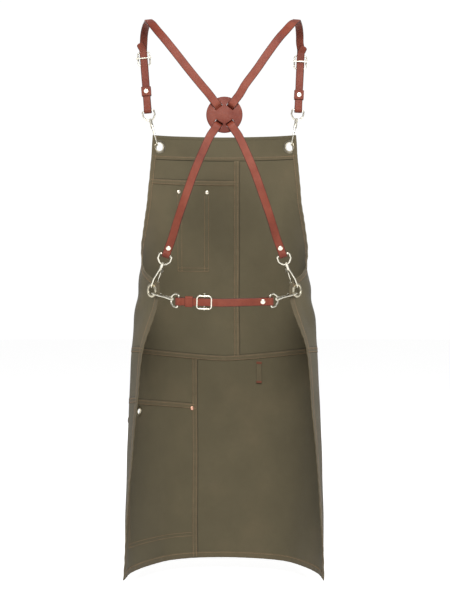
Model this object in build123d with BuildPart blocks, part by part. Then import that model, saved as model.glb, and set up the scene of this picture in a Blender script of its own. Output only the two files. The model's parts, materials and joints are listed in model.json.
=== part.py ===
from build123d import *
import os
from math import cos, radians, sin

os.makedirs("parts", exist_ok=True)

# Butcher apron of canvas with a crossed leather back harness, sizes in mm.
# The origin is midway between the shoulder straps on the shoulder line, Z is up,
# the wearer faces +Y and the open back of the apron is towards -Y.

# canvas
canvas_thickness = 1.0
seam_gap = 0.4
bib_top_z = -206.0
band_seam_z = -252.0
yoke_seam_z = -293.0
waist_seam_z = -643.0
waist_seam_rise = 25.0
hip_seam_z = -739.0
hip_seam_rise = 30.0
hem_z = -1045.0
bib_seam_s = 29.0
skirt_seam_s = -55.0
pocket_lift = 1.4

# one row per height: height, then x and y at each fifth of the way from front middle to side edge
front_middle_y = 115.0
sections = [
    (-196, 61.8, 109.2, 121.0, 92.8, 173.4, 58.0, 204.0, 3.0, 215.0, -59.0),
    (-255, 61.8, 109.0, 121.0, 91.8, 172.0, 55.6, 200.0, -0.5, 209.0, -62.0),
    (-305, 61.8, 107.8, 120.5, 86.4, 168.0, 46.0, 193.0, -11.5, 196.0, -74.0),
    (-355, 61.5, 106.2, 119.0, 81.0, 161.5, 35.0, 180.0, -25.0, 176.0, -87.0),
    (-405, 61.2, 106.2, 117.6, 78.4, 154.0, 28.0, 166.0, -33.0, 151.0, -93.5),
    (-455, 61.0, 106.5, 117.0, 78.0, 151.5, 27.6, 154.0, -35.0, 128.0, -91.0),
    (-490, 61.0, 107.0, 117.0, 79.5, 154.0, 30.5, 155.5, -34.6, 121.5, -87.5),
    (-516, 61.0, 107.0, 117.5, 80.0, 157.0, 31.0, 159.0, -34.0, 119.0, -85.0),
    (-534, 61.0, 107.0, 118.0, 80.0, 157.4, 31.4, 162.0, -32.0, 121.0, -83.5),
    (-569, 61.0, 107.0, 118.0, 80.0, 158.0, 32.0, 168.5, -26.0, 132.0, -80.0),
    (-626, 61.0, 107.0, 118.0, 80.0, 158.5, 34.0, 174.0, -23.0, 150.0, -79.0),
    (-721, 61.0, 107.5, 118.0, 81.0, 159.5, 36.0, 179.0, -20.0, 159.0, -79.0),
    (-861, 60.0, 108.0, 116.0, 82.0, 159.0, 38.0, 183.5, -18.0, 171.0, -78.0),
    (-989, 60.0, 108.0, 115.0, 82.0, 157.0, 38.0, 183.0, -17.0, 180.0, -77.0),
    (-1045, 58.0, 108.0, 112.0, 82.0, 151.0, 37.0, 175.0, -18.0, 183.5, -76.0),
]
# side view of the edge from the top of the bib to the waist tip, y and z
armhole = [
    (83.0, -190.0),
    (82.0, -215.0),
    (79.0, -255.0),
    (67.0, -305.0),
    (50.0, -355.0),
    (22.0, -405.0),
    (-6.0, -440.0),
    (-32.0, -463.0),
    (-54.0, -479.0),
    (-70.0, -490.0),
    (-84.0, -499.5),
]

# grommets, pockets and rivets on the canvas
grommet_hole = 8.5
grommet_barrel = 9.2
grommet_flange = 13.5
flange_thickness = 0.7
flange_gap = 0.6
bib_grommet_s = 133.5
bib_grommet_z = -228.0
waist_grommet_from_edge = 20.0
waist_grommet_z = -513.0
towel_hole = 5.0
towel_barrel = 5.7
towel_flange = 10.0
towel_s = -194.0
towel_z = -745.0
pen_pocket_s = (-97.0, -30.0)
pen_pocket_z = (-476.0, -311.0)
hip_pocket_s = (-236.0, -60.0)
hip_pocket_z = (-1003.0, -741.5)
tool_loop_s = (65.0, 75.0)
tool_loop_z = (-697.0, -653.0)
pocket_rivet_radius = 4.0

# leather
strap_width = 15.0
strap_thickness = 2.6
layer_offset = 1.45
loop_slack = 1.2
patch_radius = 32.5
patch_thickness = 3.2
patch_z = -200.0
patch_front_y = -131.6
patch_slot_radius = 19.0
patch_slot_width = 8.8
upper_strap_angle = 37.0
lower_strap_angle = 33.5
keeper_wall = 1.6
front_keeper_length = 18.5
belt_keeper_length = 14.5
strap_rivet_radius = 4.5

# snap hooks, measured down from the swivel
wire = 1.6
eye_bar_height = 23.5
eye_half_width = 11.6
boss_radius = 3.4
stud_radius = 1.3
stud_clearance = 0.08
curl_radius = 7.0
curl_height = -39.5
nose_height = -34.0
gate_wire = 1.1
gate_pivot_x = 3.6
gate_pivot_height = -10.0
gate_end_x = 4.15
gate_end_height = -36.6
pin_radius = 0.95
canvas_from_axis = 1.8
rim_from_swivel = 43.4

# slider buckles
slider_wire = 1.45
slider_half_width = 11.65
slider_half_length = 12.95
slider_offset = 4.45
slider_nub = 15.1
left_slider_reach = 104.0
right_slider_reach = 96.0
belt_slider_reach = 47.0
left_keeper_reach = 38.5
right_keeper_reach = 30.0
belt_keeper_reach = 19.5


def smooth(knots, values, at):
    """Cubic curve through the values, with its slope at each knot taken from the neighbours."""
    last = len(knots) - 1
    k = 0
    while k < last - 1 and at > knots[k + 1]:
        k += 1
    before, after = max(k - 1, 0), min(k + 2, last)
    slope_0 = (values[k + 1] - values[before]) / (knots[k + 1] - knots[before])
    slope_1 = (values[after] - values[k]) / (knots[after] - knots[k])
    span = knots[k + 1] - knots[k]
    t = (at - knots[k]) / span
    start = (2 * t**3 - 3 * t**2 + 1) * values[k] + (t**3 - 2 * t**2 + t) * span * slope_0
    end = (3 * t**2 - 2 * t**3) * values[k + 1] + (t**3 - t**2) * span * slope_1
    return start + end


def section_at(z):
    """Points of the right half of the apron at one height, front middle first."""
    heights = [-row[0] for row in sections]
    columns = [smooth(heights, [row[c] for row in sections], -z) for c in range(1, 11)]
    return [(0.0, front_middle_y)] + [(columns[2 * k], columns[2 * k + 1]) for k in range(5)]


def half_girth(z):
    """Length of canvas from the front middle to the side edge at one height."""
    points = section_at(z)
    return sum((Vector(*b) - Vector(*a)).length for a, b in zip(points, points[1:]))


def canvas_point(s, z):
    """Point on the wearer's face of the canvas, s along the cloth from the front middle."""
    right = section_at(z)
    places = [k / 5 for k in range(-5, 6)]
    xs = [-p[0] for p in reversed(right[1:])] + [p[0] for p in right]
    ys = [p[1] for p in reversed(right[1:])] + [p[1] for p in right]
    u = s / half_girth(z)
    return Vector(smooth(places, xs, u), smooth(places, ys, u), z)


def canvas_plane(s, z, lift=0.0):
    """Plane tangent to the canvas, x along the cloth to the wearer's left, z out of the apron."""
    along = (canvas_point(s + 1, z) - canvas_point(s - 1, z)).normalized()
    up = (canvas_point(s, z + 1) - canvas_point(s, z - 1)).normalized()
    out = up.cross(along).normalized()
    return Plane(origin=canvas_point(s, z) + out * lift, x_dir=along, z_dir=out)


def canvas_panel(left, right, bottom, top, lift=0.0, rows=12, columns=13, thick=canvas_thickness):
    """Thin curved panel between two lines along the cloth and two heights, each a function."""
    grid = []
    for i in range(rows + 1):
        line = []
        for j in range(columns + 1):
            p = j / columns
            middle = (bottom(0) + top(0)) / 2
            s_guess = left(middle) * (1 - p) + right(middle) * p
            z = bottom(s_guess) + (top(s_guess) - bottom(s_guess)) * i / rows
            s = left(z) * (1 - p) + right(z) * p
            line.append(canvas_plane(s, z, lift).origin)
        grid.append(line)
    face = Face.make_surface_from_array_of_points(grid, tol=0.05, min_deg=3)
    centre = canvas_plane((left(middle) + right(middle)) / 2, middle)
    return Solid.thicken(face, depth=thick, normal_override=centre.z_dir)


def at(value):
    """Boundary that stays at one value."""
    return lambda _: value


def side_edge(sign):
    """Boundary along the left or right side edge of the apron."""
    return lambda z: sign * (half_girth(z) - 0.01)


def armhole_cutter():
    """Everything behind the curved edge of the bib, above the waist tips."""
    with BuildPart() as piece:
        with BuildSketch(Plane.YZ):
            with BuildLine():
                Spline(*armhole)
                Polyline(armhole[-1], (-140.0, armhole[-1][1]), (-140.0, armhole[0][1]), armhole[0])
            make_face()
        extrude(amount=260.0, both=True)
    return piece.part


def waist_seam(offset):
    """Waist seam, which rises towards the sides."""
    def height(s):
        share = min(abs(s) / 306.0, 1.0)
        return waist_seam_z + waist_seam_rise * sin(radians(90 * share)) ** 1.5 + offset
    return height


def hip_seam(offset):
    """Seam above the hip pocket, which rises towards the side."""
    return lambda s: hip_seam_z + hip_seam_rise * (abs(s) + skirt_seam_s) / 250.0 + offset


half_gap = seam_gap / 2


def unit(x, y, z):
    """Direction of length one."""
    return Vector(x, y, z).normalized()


def across(direction, normal):
    """The part of a direction that is square to a normal."""
    return (direction - normal * direction.dot(normal)).normalized()


def holes(planes, radius, depth=6.0):
    """Round cutters, one on each plane."""
    with BuildPart() as piece:
        for plane in planes:
            with BuildSketch(plane):
                Circle(radius)
            extrude(amount=depth, both=True)
    return piece.part


# frames of the grommets and of the six hooks hung in them
middle_lift = canvas_thickness / 2
tip_s = half_girth(waist_grommet_z) - waist_grommet_from_edge
bib_left_eyelet = canvas_plane(-bib_grommet_s, bib_grommet_z, middle_lift)
bib_right_eyelet = canvas_plane(bib_grommet_s, bib_grommet_z, middle_lift)
waist_left_eyelet = canvas_plane(-tip_s, waist_grommet_z, middle_lift)
waist_right_eyelet = canvas_plane(tip_s, waist_grommet_z, middle_lift)
towel_eyelet = canvas_plane(towel_s, towel_z, middle_lift)


def hook_frame(eyelet, side, angle, gate_side, shift=0.0, ease=0.0):
    """Frame of a snap hook: origin at the swivel, z up its axis, x towards its gate.

    The hook bears on the rim of the hole, shift to one side of the hole's middle.
    """
    edgeward = across(eyelet.x_dir * side, Vector(0, 0, 1))
    axis = edgeward * sin(radians(angle)) + Vector(0, 0, 1) * cos(radians(angle))
    axis = across(axis, eyelet.z_dir)
    sideways = edgeward * cos(radians(angle)) - Vector(0, 0, 1) * sin(radians(angle))
    towards_gate = across(gate_side, axis)
    reach = rim_from_swivel - ease + (grommet_hole**2 - (abs(shift) + wire) ** 2) ** 0.5
    origin = eyelet.origin + axis * reach + sideways * shift + towards_gate * canvas_from_axis
    return Plane(origin=origin, x_dir=towards_gate, z_dir=axis)


bib_left_hook = hook_frame(bib_left_eyelet, -1, 16.5, unit(-0.14, 0.99, 0), 3.0, 0.7)
bib_right_hook = hook_frame(bib_right_eyelet, 1, 11.5, unit(0.14, 0.99, 0), 3.0, 0.7)
waist_left_hook = hook_frame(waist_left_eyelet, -1, 32.0, -waist_left_eyelet.z_dir)
waist_right_hook = hook_frame(waist_right_eyelet, 1, 32.0, -waist_right_eyelet.z_dir)
belt_left_hook = hook_frame(waist_left_eyelet, -1, 103.0, -waist_left_eyelet.z_dir, 4.0)
belt_right_hook = hook_frame(waist_right_eyelet, 1, 103.0, -waist_right_eyelet.z_dir, 4.0)


def eye_frame(hook, width):
    """Frame of the swivel eye: z up the hook's axis, x along the bar that holds the strap."""
    return Plane(origin=hook.origin, x_dir=across(width, hook.z_dir), z_dir=hook.z_dir)


def strap_end(eye, direction):
    """Frame of a strap end: origin at the bar, z along the strap, x across it."""
    origin = eye.origin + eye.z_dir * eye_bar_height
    return Plane(origin=origin, x_dir=across(eye.x_dir, direction), z_dir=direction)


bib_left_eye = eye_frame(bib_left_hook, unit(1, 0, 0.06))
bib_right_eye = eye_frame(bib_right_hook, unit(1, 0, -0.06))
waist_left_eye = eye_frame(waist_left_hook, unit(-0.93, -0.10, 0.36))
waist_right_eye = eye_frame(waist_right_hook, unit(-0.93, 0.10, -0.36))
belt_left_eye = eye_frame(belt_left_hook, Vector(0, 0, 1))
belt_right_eye = eye_frame(belt_right_hook, Vector(0, 0, -1))
bib_left_end = strap_end(bib_left_eye, unit(-9.0, 4.0, 114.0))
bib_right_end = strap_end(bib_right_eye, unit(5.5, 4.0, 114.0))
waist_left_end = strap_end(waist_left_eye, unit(0.34, -0.30, 0.89))
waist_right_end = strap_end(waist_right_eye, unit(-0.34, -0.30, 0.89))
belt_left_end = strap_end(belt_left_eye, unit(1, -0.03, -0.03))
belt_right_end = strap_end(belt_right_eye, unit(-1, -0.03, -0.03))


def local(frame, x, y, z):
    """World position of a point given in a frame."""
    return frame.from_local_coords(Vector(x, y, z))


def level(frame, reach):
    """Plane square to a strap end, some way up it."""
    return Plane(origin=local(frame, 0, 0, reach), x_dir=frame.x_dir, z_dir=frame.z_dir)


def loop_stations(frame, tip, reach):
    """Stations (point, width direction) from the tip, round the bar and up the outer layer."""
    turn = wire + loop_slack + strap_thickness / 2
    inner = [(tip, layer_offset), (10.5, layer_offset), (7.0, 2.1), (3.0, turn - 0.3)]
    stations = [local(frame, 0, -y, z) for z, y in inner if z <= tip]
    for step in range(7):
        angle = radians(180 + 30 * step)
        stations.append(local(frame, 0, cos(angle) * turn, sin(angle) * turn))
    stations += [local(frame, 0, y, z) for z, y in reversed(inner[1:])]
    stations.append(local(frame, 0, layer_offset, reach))
    return [(point, frame.x_dir) for point in stations]


def strap_solid(stations):
    """Flat strap that follows the stations, with a rectangular section at each."""
    last = len(stations) - 1
    with BuildPart() as piece:
        for k, (point, width_dir) in enumerate(stations):
            tangent = stations[min(k + 1, last)][0] - stations[max(k - 1, 0)][0]
            with BuildSketch(Plane(origin=point, x_dir=across(width_dir, tangent.normalized()),
                                   z_dir=tangent)):
                Rectangle(strap_width, strap_thickness)
        loft(ruled=True)
    return piece.part


def shoulder_stations(side):
    """Centre of a shoulder strap from the front, over the shoulder and down to the patch.

    Each row gives x on the left, x on the right, y, z and the width direction. The harness
    hangs a little to the left.
    """
    points = [
        (159.5, 148.8, 85.6, -23.0, unit(1, 0, 0.05)),
        (158.4, 148.3, 79.0, -12.0, unit(1, 0.03, 0.05)),
        (156.1, 146.9, 67.0, -4.4, unit(1, 0.08, 0.05)),
        (152.6, 144.5, 48.0, 0.2, unit(1, 0.12, 0.05)),
        (148.3, 141.1, 25.0, 1.3, unit(1, 0.16, 0.05)),
        (144.7, 138.1, 0.0, -0.8, unit(1, 0.18, 0.08)),
        (142.5, 135.9, -25.0, -5.2, unit(1, 0.16, 0.12)),
        (141.0, 133.8, -50.0, -12.4, unit(1, 0.12, 0.20)),
        (137.0, 129.0, -76.0, -20.5, unit(1, 0.10, 0.34)),
        (131.0, 121.8, -96.0, -30.0, unit(1, 0.06, 0.50)),
        (121.0, 110.8, -112.0, -45.0, unit(1, 0.03, 0.65)),
        (108.0, 97.4, -123.0, -62.0, unit(1, 0, 0.74)),
        (86.5, 77.7, -131.0, -90.0, unit(1, 0, 0.78)),
        (63.5, 57.3, -134.5, -120.0, unit(1, 0, 0.78)),
        (41.5, 37.3, -134.8, -147.0, unit(1, 0, 0.78)),
    ]
    stations = []
    for left, right, y, z, width in points:
        x = -left if side < 0 else right
        stations.append((Vector(x, y, z), Vector(width.X, -side * width.Y, -side * width.Z)))
    return stations


def patch_stations(side, depth):
    """Centre of a strap through the patch: over the rim, in at one slot and out at the other."""
    middle = (-132.5 + depth - 0.6) / 2
    profile = [(46.0, -133.8), (34.0, -133.3), (24.5, -133.25), (22.0, -132.5), (19.0, middle)]
    profile += [(16.0, depth - 0.6), (13.0, depth)]
    up = (side * sin(radians(upper_strap_angle)), cos(radians(upper_strap_angle)))
    down = (-side * sin(radians(lower_strap_angle)), -cos(radians(lower_strap_angle)))
    upper_width = Vector(up[1], 0, -up[0])
    lower_width = Vector(-down[1], 0, down[0])
    above = [(Vector(up[0] * r, y, patch_z + up[1] * r), upper_width) for r, y in profile]
    below = [(Vector(down[0] * r, y, patch_z + down[1] * r), lower_width) for r, y in profile]
    crossing = [(Vector(0, depth, patch_z), (upper_width + lower_width).normalized())]
    return above + crossing + below[::-1]


def lower_stations(side):
    """Centre of a strap from the patch down to the waist on the given side."""
    points = [
        (37.0, -135.2, -263.0, unit(1, 0, 0.44)),
        (53.5, -135.6, -302.0, unit(1, 0.03, 0.40)),
        (69.0, -132.8, -345.0, unit(1, 0.10, 0.38)),
        (83.0, -124.6, -385.0, unit(1, 0.22, 0.36)),
    ]
    return [(Vector(side * x, y, z), Vector(d.X, side * d.Y, side * d.Z)) for x, y, z, d in points]


def shoulder_strap_stations(side, front_end, slider_reach, waist_end, depth):
    """Whole shoulder strap: tip, front loop, shoulder, patch and the loop at the other hip."""
    flare = [
        (local(front_end, side * 6.0, -5.4, slider_reach + 30.0), front_end.x_dir),
        (local(front_end, side * 2.6, -3.0, slider_reach + 23.0), front_end.x_dir),
    ]
    stations = flare + loop_stations(front_end, slider_reach + 16.0, 118.0)
    stations += shoulder_stations(side)
    stations += patch_stations(side, depth)
    stations += lower_stations(-side)
    waist = loop_stations(waist_end, 24.0, 34.0)
    stations += [(point, -width_dir) for point, width_dir in reversed(waist)]
    return stations


def belt_stations():
    """Whole belt: tip, left loop, across the back and the loop at the right hook."""
    middle = [
        (Vector(-4.0, -123.35, -535.9), Vector(0, 0, 1)),
        (Vector(26.0, -122.7, -535.3), Vector(0, 0, 1)),
    ]
    right = loop_stations(belt_right_end, 24.0, 34.0)
    right = [(point, -width_dir) for point, width_dir in reversed(right)]
    return loop_stations(belt_left_end, belt_slider_reach + 20.0, belt_slider_reach + 20.0) + middle + right


# snap hook pieces
def swivel_eye_solid(frame):
    """D shaped eye with the boss that the hook turns in."""
    with BuildPart() as piece:
        top = eye_bar_height
        outline = [(-1.2, 3.4), (-6.5, 6.0), (-eye_half_width, 13.0), (-eye_half_width, top)]
        outline += [(-x, z) for x, z in reversed(outline)]
        side_plane = Plane(origin=frame.origin, x_dir=frame.x_dir, z_dir=-frame.y_dir)
        with BuildLine(side_plane):
            FilletPolyline(*outline, radius=3.0, close=True)
        with BuildSketch(Plane(origin=local(frame, 0, 0, top), x_dir=frame.z_dir, z_dir=frame.x_dir)):
            Circle(wire)
        sweep()
        with BuildSketch(frame.offset(0.6)):
            Circle(boss_radius)
        extrude(amount=5.4)
        with BuildSketch(frame):
            Circle(stud_radius + stud_clearance)
        extrude(amount=5.9, mode=Mode.SUBTRACT)
        with BuildSketch(frame.offset(5.9)):
            Circle(2.9)
        extrude(amount=3.0, mode=Mode.SUBTRACT)
    return piece.part


def hook_solid(frame):
    """Turned stud, neck, wire hook and the fork with its pin."""
    with BuildPart() as piece:
        with BuildSketch(frame.offset(-1)):
            Circle(stud_radius)
        extrude(amount=8.0)
        with BuildSketch(frame.offset(6.1)):
            Circle(2.3)
        extrude(amount=1.5)
        with BuildSketch(frame.offset(-6.5)):
            Circle(3.0)
        extrude(amount=6.95)
        hook_plane = Plane(origin=frame.origin, x_dir=frame.x_dir, z_dir=-frame.y_dir)
        bottom = curl_height - curl_radius
        outline = [(-1.4, -5.0), (-curl_radius, -26.0), (-curl_radius, bottom), (curl_radius, bottom)]
        with BuildLine(hook_plane) as path:
            FilletPolyline(*outline, (curl_radius, nose_height), radius=curl_radius - 0.05)
        with BuildSketch(Plane(origin=path.line @ 0, z_dir=path.line % 0)):
            Circle(wire)
        sweep()
        for y in (-2.35, 2.35):
            with BuildSketch(Plane(origin=local(frame, 0, y, 0), x_dir=frame.x_dir, z_dir=-frame.y_dir)):
                with Locations((2.9, -8.2)):
                    Rectangle(5.0, 8.4)
            extrude(amount=0.6, both=True)
        with BuildSketch(Plane(origin=local(frame, 0, 0, 0), x_dir=frame.x_dir, z_dir=-frame.y_dir)):
            with Locations((gate_pivot_x, gate_pivot_height)):
                Circle(pin_radius)
        extrude(amount=2.9, both=True)
    return piece.part


def gate_solid(frame):
    """Straight gate with the ring that turns on the fork's pin."""
    with BuildPart() as piece:
        pivot_plane = Plane(origin=frame.origin, x_dir=frame.x_dir, z_dir=-frame.y_dir)
        with BuildSketch(pivot_plane):
            with Locations((gate_pivot_x, gate_pivot_height)):
                Circle(2.15)
        extrude(amount=1.55, both=True)
        top = local(frame, gate_pivot_x, 0, gate_pivot_height)
        bottom = local(frame, gate_end_x, 0, gate_end_height)
        with BuildSketch(Plane(origin=top, z_dir=bottom - top)):
            Circle(gate_wire)
        extrude(amount=(bottom - top).length)
        with BuildSketch(pivot_plane):
            with Locations((gate_pivot_x, gate_pivot_height)):
                Circle(pin_radius + 0.07)
        extrude(amount=3.0, both=True, mode=Mode.SUBTRACT)
    return piece.part


# slider and keeper pieces
def slider_frame_solid(frame, reach):
    """Rounded rectangle of wire on the outer face of the strap."""
    with BuildPart() as piece:
        plane = Plane(origin=local(frame, 0, slider_offset, reach), x_dir=frame.x_dir, z_dir=-frame.y_dir)
        with BuildLine(plane):
            FilletPolyline(
                (-slider_half_width, -slider_half_length),
                (slider_half_width, -slider_half_length),
                (slider_half_width, slider_half_length),
                (-slider_half_width, slider_half_length),
                radius=5.0,
                close=True,
            )
        start = local(frame, 0, slider_offset, reach - slider_half_length)
        with BuildSketch(Plane(origin=start, x_dir=frame.z_dir, z_dir=frame.x_dir)):
            Circle(slider_wire)
        sweep()
    return piece.part


def slider_bar_solid(frame, reach):
    """Straight bar across the inner face of the strap with a post at each side."""
    with BuildPart() as piece:
        middle = local(frame, 0, -slider_offset, reach)
        with BuildSketch(Plane(origin=middle, x_dir=frame.z_dir, z_dir=frame.x_dir)):
            Circle(slider_wire)
        extrude(amount=slider_nub, both=True)
        post = 2 * slider_offset - slider_wire - 0.03
        for x in (-slider_half_width, slider_half_width):
            foot = local(frame, x, -slider_offset, reach)
            with BuildSketch(Plane(origin=foot, x_dir=frame.x_dir, z_dir=frame.y_dir)):
                Circle(1.2)
            extrude(amount=post)
    return piece.part


def keeper_rivet_plane(frame, reach):
    """Plane of a keeper's rivet: at the middle of the keeper, z out of its inner face."""
    return Plane(origin=local(frame, 0, 0, reach), x_dir=frame.x_dir, z_dir=-frame.y_dir)


def keeper_solid(frame, reach, length):
    """Band of leather round both layers of a strap, with a hole for its rivet."""
    with BuildPart() as piece:
        inner_x, inner_y = strap_width + 0.7, 2 * (layer_offset + strap_thickness / 2) + 0.6
        with BuildSketch(level(frame, reach - length / 2)):
            RectangleRounded(inner_x + 2 * keeper_wall, inner_y + 2 * keeper_wall, 1.5)
            RectangleRounded(inner_x, inner_y, 0.4, mode=Mode.SUBTRACT)
        extrude(amount=length)
        with BuildSketch(keeper_rivet_plane(frame, reach)):
            Circle(1.3)
        extrude(amount=9.0, mode=Mode.SUBTRACT)
    return piece.part


def keeper_rivet_solid(frame, reach):
    """Rivet that closes a keeper: a domed head and a short shank."""
    with BuildPart() as piece:
        plane = keeper_rivet_plane(frame, reach)
        face = layer_offset + strap_thickness / 2 + 0.3
        with BuildSketch(plane.offset(face + 0.2)):
            Circle(1.22)
        extrude(amount=keeper_wall)
        with BuildSketch(plane.offset(face + keeper_wall + 0.05)):
            Circle(strap_rivet_radius)
        extrude(amount=1.3)
        rim = plane.origin + plane.z_dir * (face + keeper_wall + 1.35)
        circles = piece.edges().filter_by(GeomType.CIRCLE)
        fillet(circles.sort_by(lambda edge: (edge.arc_center - rim).length)[0], radius=0.8)
    return piece.part


def grommet_solids(plane, hole, barrel, flange):
    """Eyelet with its flange on the outer face and a washer closed on the inner face."""
    with BuildPart() as piece:
        half = canvas_thickness / 2
        outer = half + flange_gap
        with BuildSketch(plane.offset(-outer - flange_thickness - 0.3)):
            Circle(barrel)
            Circle(hole, mode=Mode.SUBTRACT)
        extrude(amount=2 * outer + flange_thickness + 0.6)
        with BuildSketch(plane.offset(outer)):
            Circle(flange)
            Circle(hole, mode=Mode.SUBTRACT)
        extrude(amount=flange_thickness)
        with BuildSketch(plane.offset(-outer - flange_thickness)):
            Circle(flange)
            Circle(barrel + 0.03, mode=Mode.SUBTRACT)
        extrude(amount=flange_thickness, mode=Mode.ADD)
    return piece.part


def rivet_solid(plane, low, high, shank, head, head_height=1.2):
    """Rivet through a stack from low to high along a plane's normal, headed at both ends."""
    with BuildPart() as piece:
        with BuildSketch(plane.offset(low - 0.05)):
            Circle(shank)
        extrude(amount=high - low + 0.1)
        with BuildSketch(plane.offset(low - 0.05 - head_height)):
            Circle(head)
        extrude(amount=head_height)
        with BuildSketch(plane.offset(high + 0.05)):
            Circle(head)
        extrude(amount=head_height)
    return piece.part


# canvas panels
eyelet_cut = grommet_barrel + 0.3
with BuildPart() as bib_top_band:
    add(canvas_panel(at(-170.0), at(170.0), at(band_seam_z + half_gap), at(bib_top_z), rows=6, columns=24))
    add(armhole_cutter(), mode=Mode.SUBTRACT)
    add(holes([bib_left_eyelet, bib_right_eyelet], eyelet_cut), mode=Mode.SUBTRACT)
bib_top_band.part.label = "bib_top_band"
export_step(bib_top_band.part, "parts/bib_top_band.step")

with BuildPart() as bib_yoke_left:
    add(canvas_panel(at(-176.0), at(bib_seam_s - half_gap), at(yoke_seam_z + half_gap),
                     at(band_seam_z - half_gap), rows=6, columns=16))
    add(armhole_cutter(), mode=Mode.SUBTRACT)
bib_yoke_left.part.label = "bib_yoke_left"
export_step(bib_yoke_left.part, "parts/bib_yoke_left.step")

pen_rivet_planes = [canvas_plane(s, pen_pocket_z[1] - 5.0, middle_lift) for s in (-92.0, -35.0)]
with BuildPart() as bib_panel_left:
    add(canvas_panel(side_edge(-1), at(bib_seam_s - half_gap), waist_seam(half_gap),
                     at(yoke_seam_z - half_gap), rows=24, columns=20))
    add(armhole_cutter(), mode=Mode.SUBTRACT)
    add(holes([waist_left_eyelet], eyelet_cut), mode=Mode.SUBTRACT)
    add(holes(pen_rivet_planes, 1.8), mode=Mode.SUBTRACT)
bib_panel_left.part.label = "bib_panel_left"
export_step(bib_panel_left.part, "parts/bib_panel_left.step")

with BuildPart() as bib_panel_right:
    add(canvas_panel(at(bib_seam_s + half_gap), side_edge(1), waist_seam(half_gap),
                     at(band_seam_z - half_gap), rows=26, columns=16))
    add(armhole_cutter(), mode=Mode.SUBTRACT)
    add(holes([waist_right_eyelet], eyelet_cut), mode=Mode.SUBTRACT)
bib_panel_right.part.label = "bib_panel_right"
export_step(bib_panel_right.part, "parts/bib_panel_right.step")

with BuildPart() as skirt_panel_left_upper:
    add(canvas_panel(side_edge(-1), at(skirt_seam_s - half_gap), hip_seam(half_gap),
                     waist_seam(-half_gap), rows=10, columns=16))
skirt_panel_left_upper.part.label = "skirt_panel_left_upper"
export_step(skirt_panel_left_upper.part, "parts/skirt_panel_left_upper.step")

hip_rivet_plane = canvas_plane(hip_pocket_s[1] - 5.0, hip_pocket_z[1] - 5.0, middle_lift)
with BuildPart() as skirt_panel_left_lower:
    add(canvas_panel(side_edge(-1), at(skirt_seam_s - half_gap), at(hem_z), hip_seam(-half_gap),
                     rows=20, columns=16))
    add(holes([towel_eyelet], towel_barrel + 0.3), mode=Mode.SUBTRACT)
    add(holes([hip_rivet_plane], 1.8), mode=Mode.SUBTRACT)
skirt_panel_left_lower.part.label = "skirt_panel_left_lower"
export_step(skirt_panel_left_lower.part, "parts/skirt_panel_left_lower.step")

with BuildPart() as skirt_panel_right:
    add(canvas_panel(at(skirt_seam_s + half_gap), side_edge(1), at(hem_z), waist_seam(-half_gap),
                     rows=24, columns=20))
skirt_panel_right.part.label = "skirt_panel_right"
export_step(skirt_panel_right.part, "parts/skirt_panel_right.step")

with BuildPart() as pen_pocket:
    add(canvas_panel(at(pen_pocket_s[0]), at(pen_pocket_s[1]), at(pen_pocket_z[0]), at(pen_pocket_z[1]),
                     lift=pocket_lift, rows=14, columns=8))
    add(holes(pen_rivet_planes, 1.8), mode=Mode.SUBTRACT)
pen_pocket.part.label = "pen_pocket"
export_step(pen_pocket.part, "parts/pen_pocket.step")

with BuildPart() as hip_pocket:
    add(canvas_panel(at(hip_pocket_s[0]), at(hip_pocket_s[1]), at(hip_pocket_z[0]), at(hip_pocket_z[1]),
                     lift=pocket_lift, rows=18, columns=16))
    add(holes([towel_eyelet], 10.6, depth=8.0), mode=Mode.SUBTRACT)
    add(holes([hip_rivet_plane], 1.8), mode=Mode.SUBTRACT)
hip_pocket.part.label = "hip_pocket"
export_step(hip_pocket.part, "parts/hip_pocket.step")

with BuildPart() as tool_loop:
    add(canvas_panel(at(tool_loop_s[0]), at(tool_loop_s[1]), at(tool_loop_z[0]), at(tool_loop_z[1]),
                     lift=-1.5, rows=6, columns=3))
tool_loop.part.label = "tool_loop"
export_step(tool_loop.part, "parts/tool_loop.step")

# grommets and rivets fixed to the canvas
with BuildPart() as bib_grommets:
    for eyelet in (bib_left_eyelet, bib_right_eyelet):
        add(grommet_solids(eyelet, grommet_hole, grommet_barrel, grommet_flange))
bib_grommets.part.label = "bib_grommets"
export_step(bib_grommets.part, "parts/bib_grommets.step")

with BuildPart() as waist_grommets:
    for eyelet in (waist_left_eyelet, waist_right_eyelet):
        add(grommet_solids(eyelet, grommet_hole, grommet_barrel, grommet_flange))
waist_grommets.part.label = "waist_grommets"
export_step(waist_grommets.part, "parts/waist_grommets.step")

with BuildPart() as towel_grommet:
    add(grommet_solids(towel_eyelet, towel_hole, towel_barrel, towel_flange))
towel_grommet.part.label = "towel_grommet"
export_step(towel_grommet.part, "parts/towel_grommet.step")

pocket_top = pocket_lift + canvas_thickness - middle_lift + 0.15
with BuildPart() as pocket_rivets:
    for rivet_plane in pen_rivet_planes:
        add(rivet_solid(rivet_plane, -middle_lift - 0.15, pocket_top, 1.6, pocket_rivet_radius))
pocket_rivets.part.label = "pocket_rivets"
export_step(pocket_rivets.part, "parts/pocket_rivets.step")

with BuildPart() as hip_pocket_rivet:
    add(rivet_solid(hip_rivet_plane, -middle_lift - 0.15, pocket_top, 1.6, pocket_rivet_radius))
hip_pocket_rivet.part.label = "hip_pocket_rivet"
export_step(hip_pocket_rivet.part, "parts/hip_pocket_rivet.step")

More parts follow.
